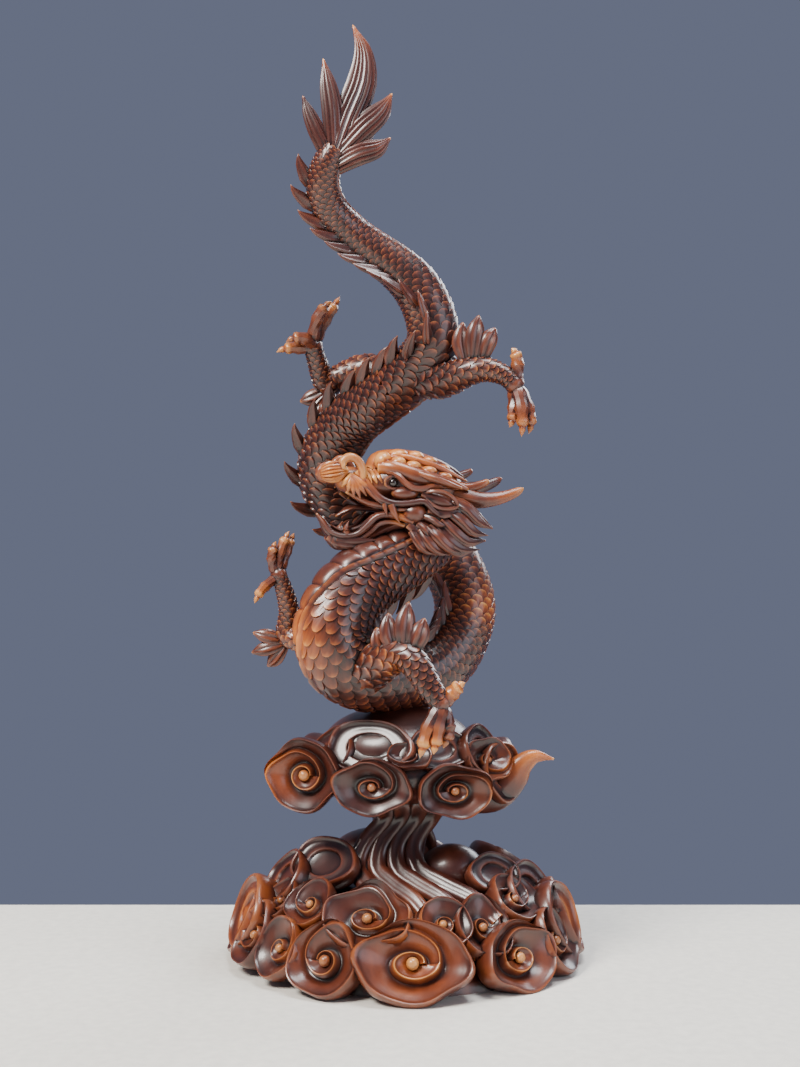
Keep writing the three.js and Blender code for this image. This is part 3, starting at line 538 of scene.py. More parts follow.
# Forms on the head's middle line: [nose, out, up, half width, half thickness].
SKULL = [[17, 0, -1, 7, 4.5], [12, 0, 0, 9.2, 7.6], [5, 0, -0.8, 11.3, 9], [-5, 0, -2.6, 10.8, 8],
         [-12, 0, -3.5, 7, 5]]
SNOUT = [[12, 0, -1, 8.3, 5.6], [18, 0, -1.2, 7.2, 4.8], [24, 0, 0.4, 6, 4.4], [29, 0, 1.4, 4.2, 3.2]]
LOWER_JAW = [[5, 0, -12, 9, 3.6], [14, 0, -14.4, 7.2, 2.6], [21, 0, -18.2, 5.4, 1.9],
             [27, 0, -18.4, 4, 1.5], [31, 0, -15.8, 2.4, 1.4], [34.5, 0, -10.8, 0.7, 0.6]]
TONGUE = [[8, 0, -10, 3.2, 1.2], [17, 0, -8.4, 3, 1.1], [23, 0, -8.2, 2.5, 0.9], [26, 0, -9.2, 1.8, 0.8],
          [29, 0, -11, 0.5, 0.4]]
CROWN = [[17.4, 0, 3.6, 3.4, 2.4], [15.4, 0, 6.6, 4.4, 2.8], [11, 0, 8, 4.6, 2.3], [4, 0, 7.8, 4.4, 2.1],
         [-3, 0, 6, 3.4, 1.8], [-8.5, 0, 3.6, 2.2, 1.4], [-12.8, 0, 1.6, 0.4, 0.4]]

# Forms on both sides of the head, laid out for the near side.
BROW = [[15.8, 5.4, 4.4, 2.2, 2.4], [12.1, 8, 4, 2.5, 2.5], [7.8, 9.2, 2.4, 2.6, 2.7],
        [3.5, 10, 1, 2.4, 2.7], [-1.1, 10.2, 0.2, 2.4, 2.1], [-6, 10, -1, 2, 1.7],
        [-11.6, 10.4, -2.6, 0.4, 0.4]]
BROW_FOLD = [[15, 4, 6.8, 1.3, 1.1], [9, 6.2, 7.6, 1.4, 1.2], [2, 7.6, 5.8, 1.5, 1.2], [-5, 8, 3, 1.3, 1],
             [-11.8, 7.8, 0, 0.3, 0.3]]
BROW_EDGE = [(16, 5.4, 3.4), (14.8, 7, 3.2), (13, 9, 2.6), (11.1, 10.6, 1.4), (9.4, 11.6, -0.6),
             (7.1, 12.2, -2.2), (4, 12.5, -2.5), (0.8, 12.4, -1.7), (-3, 12, -1.4), (-7.9, 11, -2.5)]
# Rounded lumps of the crown and brow: place, then half sizes.
CROWN_LUMPS = [
    [(14.6, 4.8, 6.2), (3, 3.3, 3.1)], [(9.8, 4, 8.3), (3.4, 3.1, 1.9)], [(10.6, 7.6, 5.6), (2.6, 2.4, 2.1)],
    [(4.8, 4.2, 7.8), (3.3, 3, 1.9)], [(6.2, 8.4, 4.4), (2.8, 2.4, 2)], [(0.4, 5, 6.3), (3, 2.8, 1.7)],
    [(1.4, 9.2, 2.9), (2.8, 2.2, 1.9)], [(-3.8, 5.6, 4), (2.8, 2.6, 1.6)], [(-3.4, 9.4, 1.2), (2.8, 2, 1.7)],
]
CHEEK_BONE = [(9, 9.8, -3.8), (4.2, 2.2, 2.2)]
REAR_BROW = [[5, 11, 2.2, 1.2, 1], [1, 12, 0.8, 1.9, 1.3], [-4, 12.2, -1, 1.8, 1.2],
             [-9, 11.4, -2.2, 0.4, 0.4]]
LIP = [[23.4, 6.2, 3, 1, 0.9], [22, 6.9, 1.4, 1, 0.9], [19.2, 8.2, -2.4, 1.1, 0.9],
       [16.8, 9.4, -5.2, 1.1, 0.9], [13, 10.6, -6.9, 1, 0.9], [8.4, 11.9, -6.9, 1, 0.9], [3.6, 12.8, -6.4, 1, 0.9],
       [0.6, 13.2, -9.2, 0.9, 0.8], [-2.1, 13.4, -10.9, 0.8, 0.7], [-5.9, 13, -10.3, 0.3, 0.3]]
LIP_LINE = [(22, 7.4, -1), (19, 8.8, -4.4), (15.4, 9.4, -7.2), (11, 10.6, -8.8), (7, 12, -8.4)]
JAW_EDGE = [(26.5, 5, -3.2), (23.5, 6, -5), (20, 7, -6.8), (16, 8, -7.6), (12, 9.4, -8.4)]
GUM = [(24, 4.4, -4.8), (20, 5.2, -7), (16, 6.2, -8.2), (11, 8, -9.4)]
JAW_LIP = [[6.5, 10.6, -12.6, 1.4, 1.2], [10.5, 9.8, -11, 1.4, 1.2], [14, 9, -10.4, 1.3, 1.1],
           [17.5, 8, -11, 1.3, 1.1], [20.5, 7, -14, 1.3, 1.1], [23, 6, -16.2, 1.2, 1],
           [27, 4.8, -17, 1.1, 1], [30.8, 2.8, -15.6, 1, 0.9], [33, 1.2, -12.4, 0.9, 0.8],
           [35, 0.2, -9.8, 0.3, 0.3]]
JAW_ROLL = [(9, 9.4, -13.8), (13, 8.6, -12.6), (16.6, 7.8, -13.2), (19.6, 6.6, -16),
            (23, 5.4, -18), (28, 3.8, -18.4), (31.6, 1.8, -15.4)]
INNER_GUM = [(9, 7.8, -10.6), (14, 7, -9.4), (18, 6, -10.6), (22, 4.6, -14), (27, 3.2, -15.2),
             (31, 1.4, -13.4)]
FANGS = [
    [[13.4, 10.6, -7.4, 1.4, 1.2], [12.7, 11.3, -10.2, 0.95, 0.95], [11, 11.5, -13.2, 0.1, 0.1]],
    [[15.4, 9.8, -7, 0.9, 0.8], [15.2, 10.2, -9, 0.7, 0.6], [14.6, 10.2, -11, 0.1, 0.1]],
    [[26, 4.6, -17, 1.5, 1.2], [26.6, 4.8, -14.8, 1.2, 1], [25.6, 5, -12.2, 0.1, 0.1]],
]
BEARD = [
    [[29, 3.4, -17.6, 1.6, 1.2], [24, 5.4, -18.4, 1.6, 1.1], [17, 7, -18.2, 0.2, 0.2]],
    [[30, 2.4, -18, 1.8, 1.4], [26, 4.6, -19.6, 1.7, 1.2], [20.4, 6, -19.8, 0.2, 0.2]],
    [[31, 1.2, -17, 1.6, 1.4], [28, 3, -20, 1.5, 1.2], [23.6, 4.4, -21, 0.2, 0.2]],
]
JAW_THORNS = [
    [[8, 10.4, -13.4, 1.5, 1], [5, 11, -16.4, 1.3, 0.8], [4.4, 11, -19, 0.2, 0.2]],
    [[5.4, 11, -13, 1.5, 1], [2, 11.8, -15, 1.3, 0.8], [0.6, 12, -17.6, 0.2, 0.2]],
]
# A ribbed shell over the front of the nose, and pointed flutes under the nostril.
NOSE_SHELL = [[26, 5, 3.4, 1.2, 1.2], [28.4, 4.8, 3.2, 3, 3.2], [31, 3.8, 2.8, 3.5, 3.9],
              [33.2, 3, 2.4, 2.5, 2.8], [34.6, 2.4, 2.2, 0.6, 0.7]]
CHEEK_ROOT = (25, 5.9, 2)
CHEEK_TIPS = [(28.1, 5.4, -1.9), (26.4, 6.2, -3.9), (24.4, 6.9, -5.2), (22.5, 7.4, -5.6), (20.6, 7.8, -4.8),
              (19.1, 8.1, -3.4)]
CHEEK_FILL = [(23.6, 5.4, -0.4), (3.2, 2, 3.2)]
NOSTRIL = [(21.6, 7.2, -0.1), (21.8, 7.2, 3.4), (23.2, 7, 6.2), (25.6, 6.5, 7.4), (27.7, 6.2, 6.2),
           (27.8, 6.4, 4.3), (26.2, 6.8, 3.4)]
EAR_RIM = [(3.6, 12, -3.6), (1.2, 13.8, -3.2), (-2, 14.8, -3.5), (-5, 15.2, -5.4), (-6.4, 15, -7.8),
           (-4, 14.8, -8.6), (-0.6, 14, -8.3), (1.8, 13.2, -6.8), (3.4, 12.2, -4.6)]
EAR_CUP = [[4, 11, -4, 1.2, 1.4], [0, 12, -5.6, 2.6, 1.6], [-4, 12.8, -7, 1.8, 1.4],
           [-7.4, 13.4, -8.4, 0.3, 0.3]]
EAR_LEAF = [[2, 12, -9, 1, 0.8], [-2, 13.6, -10.2, 1.5, 0.9], [-6, 14, -9.6, 1.1, 0.8],
            [-10, 14, -9.2, 0.2, 0.2]]
HORN = [[-5, 6.4, -3.2, 3.3, 3.3], [-11, 8, -5, 3.1, 3.1], [-16, 9, -5.8, 2.7, 2.6], [-22, 10, -5, 2.1, 2],
        [-26.4, 10.8, -3.4, 1.5, 1.5], [-29, 11.2, -2, 0.9, 0.9]]
HORN_TINE = [[-7, 6.8, -1.4, 2.1, 2.1], [-12, 7.8, -2, 1.8, 1.7], [-16, 8.8, -0.8, 1.5, 1.4],
             [-18.4, 9.2, 0.4, 0.9, 0.9]]
CHEEK_BOSS = (6, 10.2, -10)

# Mane locks behind the cheek: root, two bends, tip in head coordinates, then half width.
MANE_LOCKS = [
    [(-5.4, 13, -6.3), (-9.6, 14.6, -8.9), (-13.3, 14.6, -12.5), (-18.4, 13.4, -14.9), 1.9],
    [(-4.2, 13, -9.4), (-8.1, 14.9, -12.5), (-11.5, 14.5, -15.6), (-17, 13, -16.9), 1.9],
    [(-2.2, 12.6, -11.8), (-5.9, 14.6, -16), (-10.2, 14, -18.9), (-16.4, 12.6, -18.2), 1.9],
    [(-0.5, 12, -13.4), (-3.8, 14, -18.2), (-8, 13.6, -21.1), (-14.6, 12, -21.2), 1.8],
    [(2.1, 12, -14.2), (-0.4, 14.6, -17.3), (-4.1, 14.6, -20.8), (-9.6, 13, -22.6), 1.8],
    [(4.6, 11.4, -15), (2.4, 13.4, -18.9), (-0.3, 13.4, -21.5), (-4.8, 12, -23), 1.6],
    [(7.2, 10.8, -15.4), (5.3, 12.4, -19), (3.1, 12.4, -21.3), (-0.4, 11.4, -22.8), 1.5],
    [(3.4, 12.2, -11), (1.1, 13.7, -12), (-0.9, 14.2, -13.4), (-3.4, 14, -13.8), 1.0],
    [(5.1, 11.6, -13), (3.6, 12.8, -14.6), (2.7, 13.1, -16), (2.2, 13, -18.2), 1.0],
    [(-4, 10.4, -5), (-10, 12, -8), (-15, 12, -12.6), (-19, 11, -14.5), 2],
    [(-3, 11, -10), (-8, 12, -15), (-12.5, 11.6, -18), (-17, 10.4, -18.6), 2.1],
    [(0, 11, -13), (-3, 12.2, -19), (-7.4, 11.8, -21.8), (-13, 10.6, -21.8), 2.1],
]
MANE_CORE = [[2, 8, -9, 4.6, 4], [-4, 8.6, -12.6, 4.6, 4], [-9, 9, -15.6, 3.4, 3],
             [-13.4, 9.4, -17, 0.8, 0.8]]


def lids(flip):
    """Upper and lower lids round the eye."""
    made = []
    for sign, reach in ((1, 2), (-1, 1.85)):
        points = []
        for degrees in np.linspace(-12, 192, 7):
            a = math.radians(degrees)
            inset = 0.5 * abs(math.cos(a))
            points.append((
                EYE_SEAT[0] + 2.7 * math.cos(a),
                EYE_SEAT[1] + 0.75 - inset,
                EYE_SEAT[2] + sign * reach * math.sin(a),
            ))
        made.append(head_wire(points, 0.42, flip, sides=8, steps=16))
    return made


def head():
    made = [
        head_loft(SKULL, sides=24, steps=20),
        head_loft(SNOUT, sides=24, steps=14),
        head_loft(LOWER_JAW, sides=18, steps=20),
        head_loft(TONGUE, sides=12, steps=14),
        head_loft(CROWN, sides=24, steps=20),
    ]
    for along in (16.6, 18.3, 20, 21.7):
        arch = [(along, -6, 1.4), (along + 0.3, -3, 3), (along + 0.5, 0, 3.6), (along + 0.3, 3.6, 3),
                (along - 0.2, 6.4, 1.2), (along - 1, 7.8, -0.8)]
        made.append(head_wire(arch, 0.95))
    for flip in (1, -1):
        lift = FAR_HORN_LIFT if flip < 0 else 0
        horn, tine = ([[n, o, u + lift, w, t] for n, o, u, w, t in form] for form in (HORN, HORN_TINE))
        made += [
            head_loft(BROW, flip, sides=20, steps=22),
            head_loft(BROW_FOLD, flip, sides=12, steps=18),
            head_wire(BROW_EDGE, 1.0, flip),
            head_loft(REAR_BROW, flip, sides=14, steps=16),
            head_loft(LIP, flip, up=HEAD_SIDE, sides=14, steps=34),
            head_wire(LIP_LINE, 0.7, flip),
            head_wire(JAW_EDGE, 0.8, flip),
            head_wire(GUM, 0.7, flip),
            head_loft(JAW_LIP, flip, sides=12, steps=36),
            head_wire(JAW_ROLL, 0.8, flip),
            head_wire(INNER_GUM, 0.6, flip),
            head_wire(NOSTRIL, 1.35, flip, sides=12, steps=30),
            head_wire(EAR_RIM, 0.62, flip, steps=30),
            head_loft(EAR_CUP, flip, up=HEAD_SIDE, sides=12, steps=10),
            head_loft(EAR_LEAF, flip, up=HEAD_SIDE, sides=12, steps=12, flutes=4, depth=0.2),
            head_loft(horn, flip, sides=20, steps=22, flutes=5, depth=0.1),
            head_loft(tine, flip, sides=16, steps=14, flutes=4, depth=0.1),
            ball(head_point(CHEEK_BOSS[0], CHEEK_BOSS[1] * flip, CHEEK_BOSS[2]), (3.8, 3, 3.2)),
        ]
        made += lids(flip)
        for form in FANGS:
            made.append(head_loft(form, flip, sides=10, steps=10))
        for form in BEARD + JAW_THORNS:
            made.append(head_loft(form, flip, up=HEAD_SIDE, sides=14, steps=12, flutes=4, depth=0.18))
        made.append(head_loft(NOSE_SHELL, flip, up=HEAD_SIDE, sides=54, steps=12, flutes=18, depth=0.12))
        for (nose, out, up), size in CROWN_LUMPS + [CHEEK_FILL, CHEEK_BONE]:
            made.append(ball(head_point(nose, out * flip, up), size))
        for tip in CHEEK_TIPS:
            middle = [0.45 * a + 0.55 * b for a, b in zip(CHEEK_ROOT, tip)]
            middle[1] += 0.7
            form = [[*CHEEK_ROOT, 0.8, 0.8], [*middle, 1.1, 1], [*tip, 0.15, 0.15]]
            made.append(head_loft(form, flip, up=HEAD_SIDE, sides=10, steps=9))
        for *points, width in MANE_LOCKS:
            sizes = (0.75, 1, 0.85, 0.08)
            form = [[*p, width * k, 0.8 * width * k] for p, k in zip(points, sizes)]
            made.append(head_loft(form, flip, up=HEAD_SIDE, sides=18, steps=12, flutes=5, depth=0.32))
        made.append(head_loft(MANE_CORE, flip, up=HEAD_SIDE, sides=14, steps=10))
    return made


# ---- Clouds ---------------------------------------------------------------------------------

LOBE_SLOPE = ((0, 0), (0.05, 0), (0.12, 0.05), (0.24, 0.2), (0.4, 0.4), (0.58, 0.58), (0.74, 0.72),
              (0.85, 0.84), (0.91, 0.98), (0.955, 1), (1, 0.9))  # across a turn, foot to rim
LOBE_WALL = ((0.3, 0.66), (0.7, 0.2), (1, 0))  # down the outer side of a turn
COIL = (0.2, 0.47)  # radius of the inner coil at its start and after a turn, of the lobe's
COIL_RISE = 0.66  # height of the inner coil, of the rim's
WALL_WIDTH = 0.07


def basis(facing):
    outward_way = unit(facing)
    across = unit(np.cross(UP, outward_way))
    return across, np.cross(outward_way, across), outward_way


def direction(azimuth, elevation):
    a, e = math.radians(azimuth), math.radians(elevation)
    return np.array([math.cos(e) * math.cos(a), math.cos(e) * math.sin(a), math.sin(e)])


def outline(radius, turn, wave, waves, phase, point):
    """How far a lobe's rim stands in or out: ripples round it, and a point at its top."""
    off = np.abs((turn - np.pi / 2 + np.pi) % TAU - np.pi)
    peak = point * (np.exp(-((off / 0.28) ** 2)) - 0.45 * np.exp(-(((off - 0.75) / 0.3) ** 2)))
    ripple = 0.6 * np.cos(waves * turn + phase) + 0.4 * np.cos((waves + 2) * turn + 1.7 * phase + 1)
    return 1 + radius**2 * (wave * ripple + peak)


LOBE_RISE = 0.4  # a scroll's depth, of its smaller half size
LOBE_WAVE = 0.07  # how far its outline ripples, of its radius
KNOB_SIZE, KNOB_HEIGHT = 0.16, 0.42  # of the smaller half size, and of the depth


def lobe(at, facing, wide, tall, turns=1.0, hand=1, waves=4, phase=0.0, point=0.0, columns=0):
    """A scrolled cloud lobe whose surface winds in to a knob."""
    columns = columns or (54 if wide > 10 else 40)
    spiral = round(columns * turns)
    total = spiral + columns
    small = min(wide, tall)
    top = small * LOBE_RISE
    slope, wall = np.array(LOBE_SLOPE), np.array(LOBE_WALL)
    i = np.arange(total + 1)
    turn = i / columns
    coil = COIL[0] + (COIL[1] - COIL[0]) * turn
    spread = np.clip((turn - turns + 0.4) / 0.4, 0, 1)
    crest = np.minimum(1, coil + (1 - coil) * spread**1.6)
    crest_height = top * (COIL_RISE + (1 - COIL_RISE) * spread)
    foot = crest + np.minimum(WALL_WIDTH, 0.8 * (1 - crest))
    fall = np.clip((turns - turn) / 0.4, 0, 1)
    foot_height = 0.9 * crest_height * (1 - fall)
    points, index = [(0.0, 0.0, -0.1 * top)], {}

    def put(radius, turn, height):
        points.append((radius, TAU * turn / columns, height))
        return len(points) - 1

    edge = len(slope) - 1
    for k in i[:-1]:
        inside = k >= columns
        inner = foot[k - columns] if inside else 0.0
        low = foot_height[k - columns] if inside else 0.0
        index[(k, 0)] = index[(k - columns, "foot")] if inside else 0
        for s in range(1, len(slope)):
            radius = inner + (crest[k] - inner) * slope[s, 0]
            index[(k, s)] = put(radius, k, low + (crest_height[k] - low) * slope[s, 1])
        if k < spiral:
            for s, (share, height) in enumerate(wall):
                radius = crest[k] + (foot[k] - crest[k]) * share
                drop = foot_height[k] + (0.9 * crest_height[k] - foot_height[k]) * height
                index[(k, "w", s)] = put(radius, k, drop)
            index[(k, "foot")] = index[(k, "w", len(wall) - 1)]
        else:
            index[(k, "foot")] = index[(k, edge)]
    for s in range(len(slope)):
        index[(total, s)] = index[(spiral, edge)]
    faces = []
    for k in range(total):
        for s in range(edge):
            faces.append((index[(k, s)], index[(k, s + 1)], index[(k + 1, s + 1)], index[(k + 1, s)]))
        if k < spiral:
            here = [index[(k, edge)]] + [index[(k, "w", s)] for s in range(len(wall))]
            if k + 1 < spiral:
                after = [index[(k + 1, edge)]] + [index[(k + 1, "w", s)] for s in range(len(wall))]
            else:
                after = [index[(k + 1, edge)]] * (len(wall) + 1)
            for s in range(len(wall)):
                faces.append((here[s], here[s + 1], after[s + 1], after[s]))
    start = [index[(0, s)] for s in range(edge + 1)] + [index[(0, "w", s)] for s in range(len(wall))]
    faces.append(tuple(reversed(start)))

    rim = [index[(k, edge)] for k in range(spiral, total)]
    backs = ((1.025, 0.6), (1.02, 0.1), (0.97, -0.7), (0.8, -1.4))
    previous = rim
    for radius, height in backs:
        ring = [put(radius, k, top * height) for k in range(spiral, total)]
        for k in range(columns):
            n = (k + 1) % columns
            faces.append((previous[k], ring[k], ring[n], previous[n]))
        previous = ring
    points.append((0.0, 0.0, -1.3 * small))
    tail = len(points) - 1
    for k in range(columns):
        faces.append((previous[k], tail, previous[(k + 1) % columns]))

    p = np.array(points)
    ripple = outline(p[:, 0], p[:, 1], LOBE_WAVE, waves, phase, point)
    across, upward, outward_way = basis(facing)
    x = hand * wide * p[:, 0] * ripple * np.cos(p[:, 1])
    y = tall * p[:, 0] * ripple * np.sin(p[:, 1])
    placed = np.array(at) + x[:, None] * across + y[:, None] * upward + p[:, 2:] * outward_way
    tidy = []
    for face in faces:
        kept = [v for n, v in enumerate(face) if v != face[n - 1]]
        if len(set(kept)) > 2:
            tidy.append(tuple(kept))
    seat = np.array(at) + KNOB_HEIGHT * top * outward_way
    return [outward(placed, tidy), ball(seat, (KNOB_SIZE * small,) * 3, sides=14, rings=9)]


PETAL = ((0.1, 0.2), (0.3, 0.24), (0.42, 0.3), (0.48, 0.36), (0.53, 0.62), (0.58, 0.66), (0.68, 0.6),
         (0.8, 0.64), (0.87, 0.74), (0.92, 0.97), (0.96, 1), (1, 0.9), (1.025, 0.6), (1.02, 0.1),
         (0.97, -0.7), (0.8, -1.4))  # radius and height across a plain lobe, with two contours
PETAL_RISE, PETAL_WAVE, PETAL_WAVES, PETAL_COLUMNS = 0.34, 0.06, 3, 48


def petal(at, facing, wide, tall, phase=0.0, point=0.0):
    """A plain cloud lobe: a shallow face with an inner contour and a raised rim."""
    small = min(wide, tall)
    top = small * PETAL_RISE
    radii, heights = np.array(PETAL).T
    angle = TAU * np.arange(PETAL_COLUMNS) / PETAL_COLUMNS
    ripple = outline(radii[:, None], angle[None], PETAL_WAVE, PETAL_WAVES, phase, point)
    across, upward, outward_way = basis(facing)
    x = wide * radii[:, None] * ripple * np.cos(angle)
    y = tall * radii[:, None] * ripple * np.sin(angle)
    z = np.repeat((top * heights)[:, None], PETAL_COLUMNS, 1)
    grid = np.array(at) + x[..., None] * across + y[..., None] * upward + z[..., None] * outward_way
    centre = np.array(at) + 0.19 * top * outward_way
    tail = np.array(at) - 1.3 * small * outward_way
    return [outward(*skin(grid, centre, tail))]


# Lobes of the mound: azimuth, distance from the axis, height, half width, half height,
# elevation that they face, turns of the scroll, hand, ripples, where those start, point.
MOUND_LOBES = [
    [-88, 49, 10, 17, 12, 29, 1.4, 1, 4, 0.6, 0],
    [-118, 49.5, 9.5, 11.5, 11, 26, 1.3, -1, 3, 1.2, 0.05],
    [-138, 50, 10.5, 8.5, 9.5, 27, 1.2, 1, 3, 0.3, 0],
    [-156, 50, 11, 9, 10.5, 28, 1.1, -1, 3, 2, 0],
    [-176, 48, 11.5, 12, 12.5, 25, 1.2, 1, 3, 1, 0],
    [-106, 41, 20.5, 14, 10, 42, 1.35, 1, 4, 1.6, 0.2],
    [-134, 41, 22.5, 8.5, 8, 42, 1.2, -1, 3, 0.6, 0.1],
    [-155, 42, 21, 8, 7.5, 42, 1.1, 1, 3, 1.5, 0],
    [-75, 41, 19, 9, 8, 40, 1.15, -1, 3, 0.2, 0.08],
    [-58, 42, 17, 9, 10, 38, 1.2, 1, 3, 2.4, 0],
    [-48, 49, 8.5, 14, 10.5, 24, 1.4, -1, 4, 0.9, 0],
    [-25, 49.5, 9.5, 10, 10.5, 27, 1.2, 1, 3, 0.5, 0],
    [-4, 48, 12, 12, 12.5, 25, 1.2, -1, 3, 1.9, 0],
    [-33, 39, 22, 10.5, 8.5, 46, 1.2, 1, 3, 1.1, 0],
]
# Plain lobes of the mound: centre, facing, half width, half height, point.
MOUND_PETALS = [
    [(-25, -13, 31.5), (-0.45, -0.65, 0.7), 12, 9, 0],
    [(-37, -8, 26), (-0.8, -0.3, 0.6), 11, 9, 0],
    [(27, -16, 29), (0.5, -0.6, 0.75), 10, 7, 0],
    [(38, -9, 22), (0.8, -0.4, 0.6), 13, 10, 0],
    [(47, -10, 14), (0.9, -0.35, 0.35), 12, 12, 0],
    [(-48, -8, 15), (-0.92, -0.3, 0.35), 12, 12, 0],
]
REAR_LOWER = (6, 49, 10, 13, 12, 26)
REAR_UPPER = (3, 37, 24, 13, 9, 48)

# Lobes of the upper cloud: centre, azimuth and elevation faced, half width, half height,
# turns, hand.
UPPER_LOBES = [
    [[-31, -20, 61], -106, 5, 11.6, 11, 1.5, 1],
    [[-10.4, -27, 58.5], -96, 0, 12, 8.4, 1.3, 1],
    [[14.8, -25, 57], -82, 0, 11.6, 8.2, 1.5, -1],
    [[25, -17, 65], -60, 25, 8, 7, 1, 1],
    [[1, -26, 67.5], -90, 35, 7, 4.5, 1, -1],
]
# Plain lobes that lap over its dome: centre, facing, half width, half height.
UPPER_PETALS = [
    [(-11, -20.5, 69), (-0.25, -0.85, 0.5), 14, 9],
    [(9.5, -20, 68.5), (0.3, -0.85, 0.5), 10.5, 7],
    [(-22, -13, 66), (-0.75, -0.55, 0.5), 10, 9],
    [(22.5, -13, 66.5), (0.8, -0.5, 0.45), 9.5, 9],
    [(29, -13, 61), (0.75, -0.7, 0.2), 8.5, 9.5],
]
UPPER_REAR_LOBES = [
    [[30, 4, 60], 10, 9, 9],
    [[16, 22, 59], 60, 11, 9],
    [[-8, 25, 59], 100, 12, 9],
    [[-29, 10, 60], 160, 11, 9.5],
]
COLUMN = [[-3, 0, 20, 12, 11], [-4, -1, 30, 10, 9], [-2, 0, 40, 9, 9], [1, 0, 54, 13, 12]]
WISP = [[16, -13, 54, 6, 5], [28, -12, 54, 5.6, 4.6], [33.4, -12, 58.6, 4.8, 3.8], [36.2, -12, 63, 3.8, 3],
        [40.4, -12, 65.6, 2.4, 2], [46.8, -12, 64.8, 0.3, 0.3]]


def strands():
    made = []
    for side, count in ((1, 4), (-1, 3)):
        for i in range(count):
            rows = [
                [-3 + 10.2 * i, -33, 19, 2.6, 1.6],
                [-7 + 9.2 * i, -27, 24, 3, 2],
                [-12.4 + 7.8 * i, -20, 27.4, 3.3, 2.4],
                [-15.5 + 6.4 * i, -14.5, 31, 3.4, 2.6],
                [-13 + 5.2 * i, -10.5, 38, 3.1, 2.6],
                [-6.5 + 4.8 * i, -9.5, 46, 3.1, 2.6],
                [-8 + 6.5 * i, -13, 53, 4, 3],
            ]
            placed = [[x if side > 0 else -4 - 0.75 * x, side * y, *rest] for x, y, *rest in rows]
            made.append(loft(placed, up=(0, -side, 0.4), sides=24, steps=32, flutes=4, depth=0.26))
    return made


def ellipsoid(at, size):
    return ball(at, size, sides=44, rings=21)


def mound():
    ring = np.array([[47.5, 0.0], [47, 3], [44, 7], [38.5, 13.5], [30.5, 19.5], [22, 24], [12, 27], [6, 28]])
    angle = TAU * np.arange(48) / 48
    grid = np.stack([
        ring[:, :1] * np.cos(angle),
        ring[:, :1] * np.sin(angle),
        np.repeat(ring[:, 1:], 48, 1),
    ], -1)
    made = [outward(*skin(grid, [0, 0, 0], [0, 0, 28]))]
    for azimuth, away, height, wide, tall, tilt, turns, hand, waves, phase, point in MOUND_LOBES:
        at = direction(azimuth, 0) * away + (0, 0, height)
        made += lobe(at, direction(azimuth, tilt), wide, tall, turns, hand, waves=waves, phase=phase,
                     point=point)
    for i, (at, facing, wide, tall, point) in enumerate(MOUND_PETALS):
        made += petal(at, facing, wide, tall, phase=1.3 * i, point=point)
    for count, away, height, wide, tall, tilt in (REAR_LOWER, REAR_UPPER):
        for i in range(count):
            azimuth = 10 + 160 * (i + 0.5) / count
            at = direction(azimuth, 0) * away + (0, 0, height)
            hand = 1 if i % 2 else -1
            made += lobe(at, direction(azimuth, tilt), wide, tall, 1.2, hand, phase=0.7 * i, columns=36)
    made.append(ellipsoid((14.5, -9, 29), (10.5, 9, 8.5)))
    made.append(ellipsoid((-8, 14, 31), (16, 11, 7.5)))
    made.append(ellipsoid((-45, 4, 9), (10, 13, 13)))
    made.append(ellipsoid((45, 4, 9), (10, 13, 13)))
    return made


def upper_cloud():
    made = [ellipsoid((-2, 0, 60.5), (34, 26, 11.5)), ellipsoid((-2.5, -1, 67.5), (24.5, 23, 13))]
    for i, (at, azimuth, tilt, wide, tall, turns, hand) in enumerate(UPPER_LOBES):
        made += lobe(at, direction(azimuth, tilt), wide, tall, turns, hand, phase=0.9 * i)
    for i, (at, azimuth, wide, tall) in enumerate(UPPER_REAR_LOBES):
        made += lobe(at, direction(azimuth, 0), wide, tall, 1.2, 1 if i % 2 else -1, columns=36)
    for i, (at, facing, wide, tall) in enumerate(UPPER_PETALS):
        made += petal(at, facing, wide, tall, phase=1.1 * i)
    made.append(loft(WISP, up=FRONT, sides=24, steps=30, flutes=3, depth=0.12))
    return made


# ---- Pieces ---------------------------------------------------------------------------------


def plain_mesh(name, points, faces):
    mesh = bpy.data.meshes.new(name)
    mesh.from_pydata(np.asarray(points, float).tolist(), [], faces)
    mesh.validate()
    return bpy.data.objects.new(name, mesh)


def merge(name, solids, operation="UNION", target=None):
    """One closed mesh from overlapping closed meshes, or `target` cut by them."""
    group = bpy.data.collections.new(name + "_solids")
    bpy.context.scene.collection.children.link(group)
    made = [plain_mesh(f"{name}_{i}", *solid) for i, solid in enumerate(solids)]
    if target is None:
        target = made.pop(0)
    bpy.context.scene.collection.objects.link(target)
    for one in made:
        group.objects.link(one)
    joined = target.modifiers.new("joined", "BOOLEAN")
    joined.operation = operation
    joined.solver = "MANIFOLD"
    joined.operand_type = "COLLECTION"
    joined.collection = group
    bpy.context.view_layer.update()
    result = bpy.data.meshes.new_from_object(target.evaluated_get(bpy.context.evaluated_depsgraph_get()))
    for one in made + [target]:
        bpy.data.objects.remove(one, do_unlink=True)
    bpy.data.collections.remove(group)
    return bpy.data.objects.new(name, result)


def arrays(mesh):
    points = np.empty(len(mesh.vertices) * 3)
    mesh.vertices.foreach_get("co", points)
    normals = np.empty(len(mesh.vertices) * 3)
    mesh.vertex_normals.foreach_get("vector", normals)
    edges = np.empty(len(mesh.edges) * 2, int)
    mesh.edges.foreach_get("vertices", edges)
    return points.reshape(-1, 3), normals.reshape(-1, 3), edges.reshape(-1, 2)


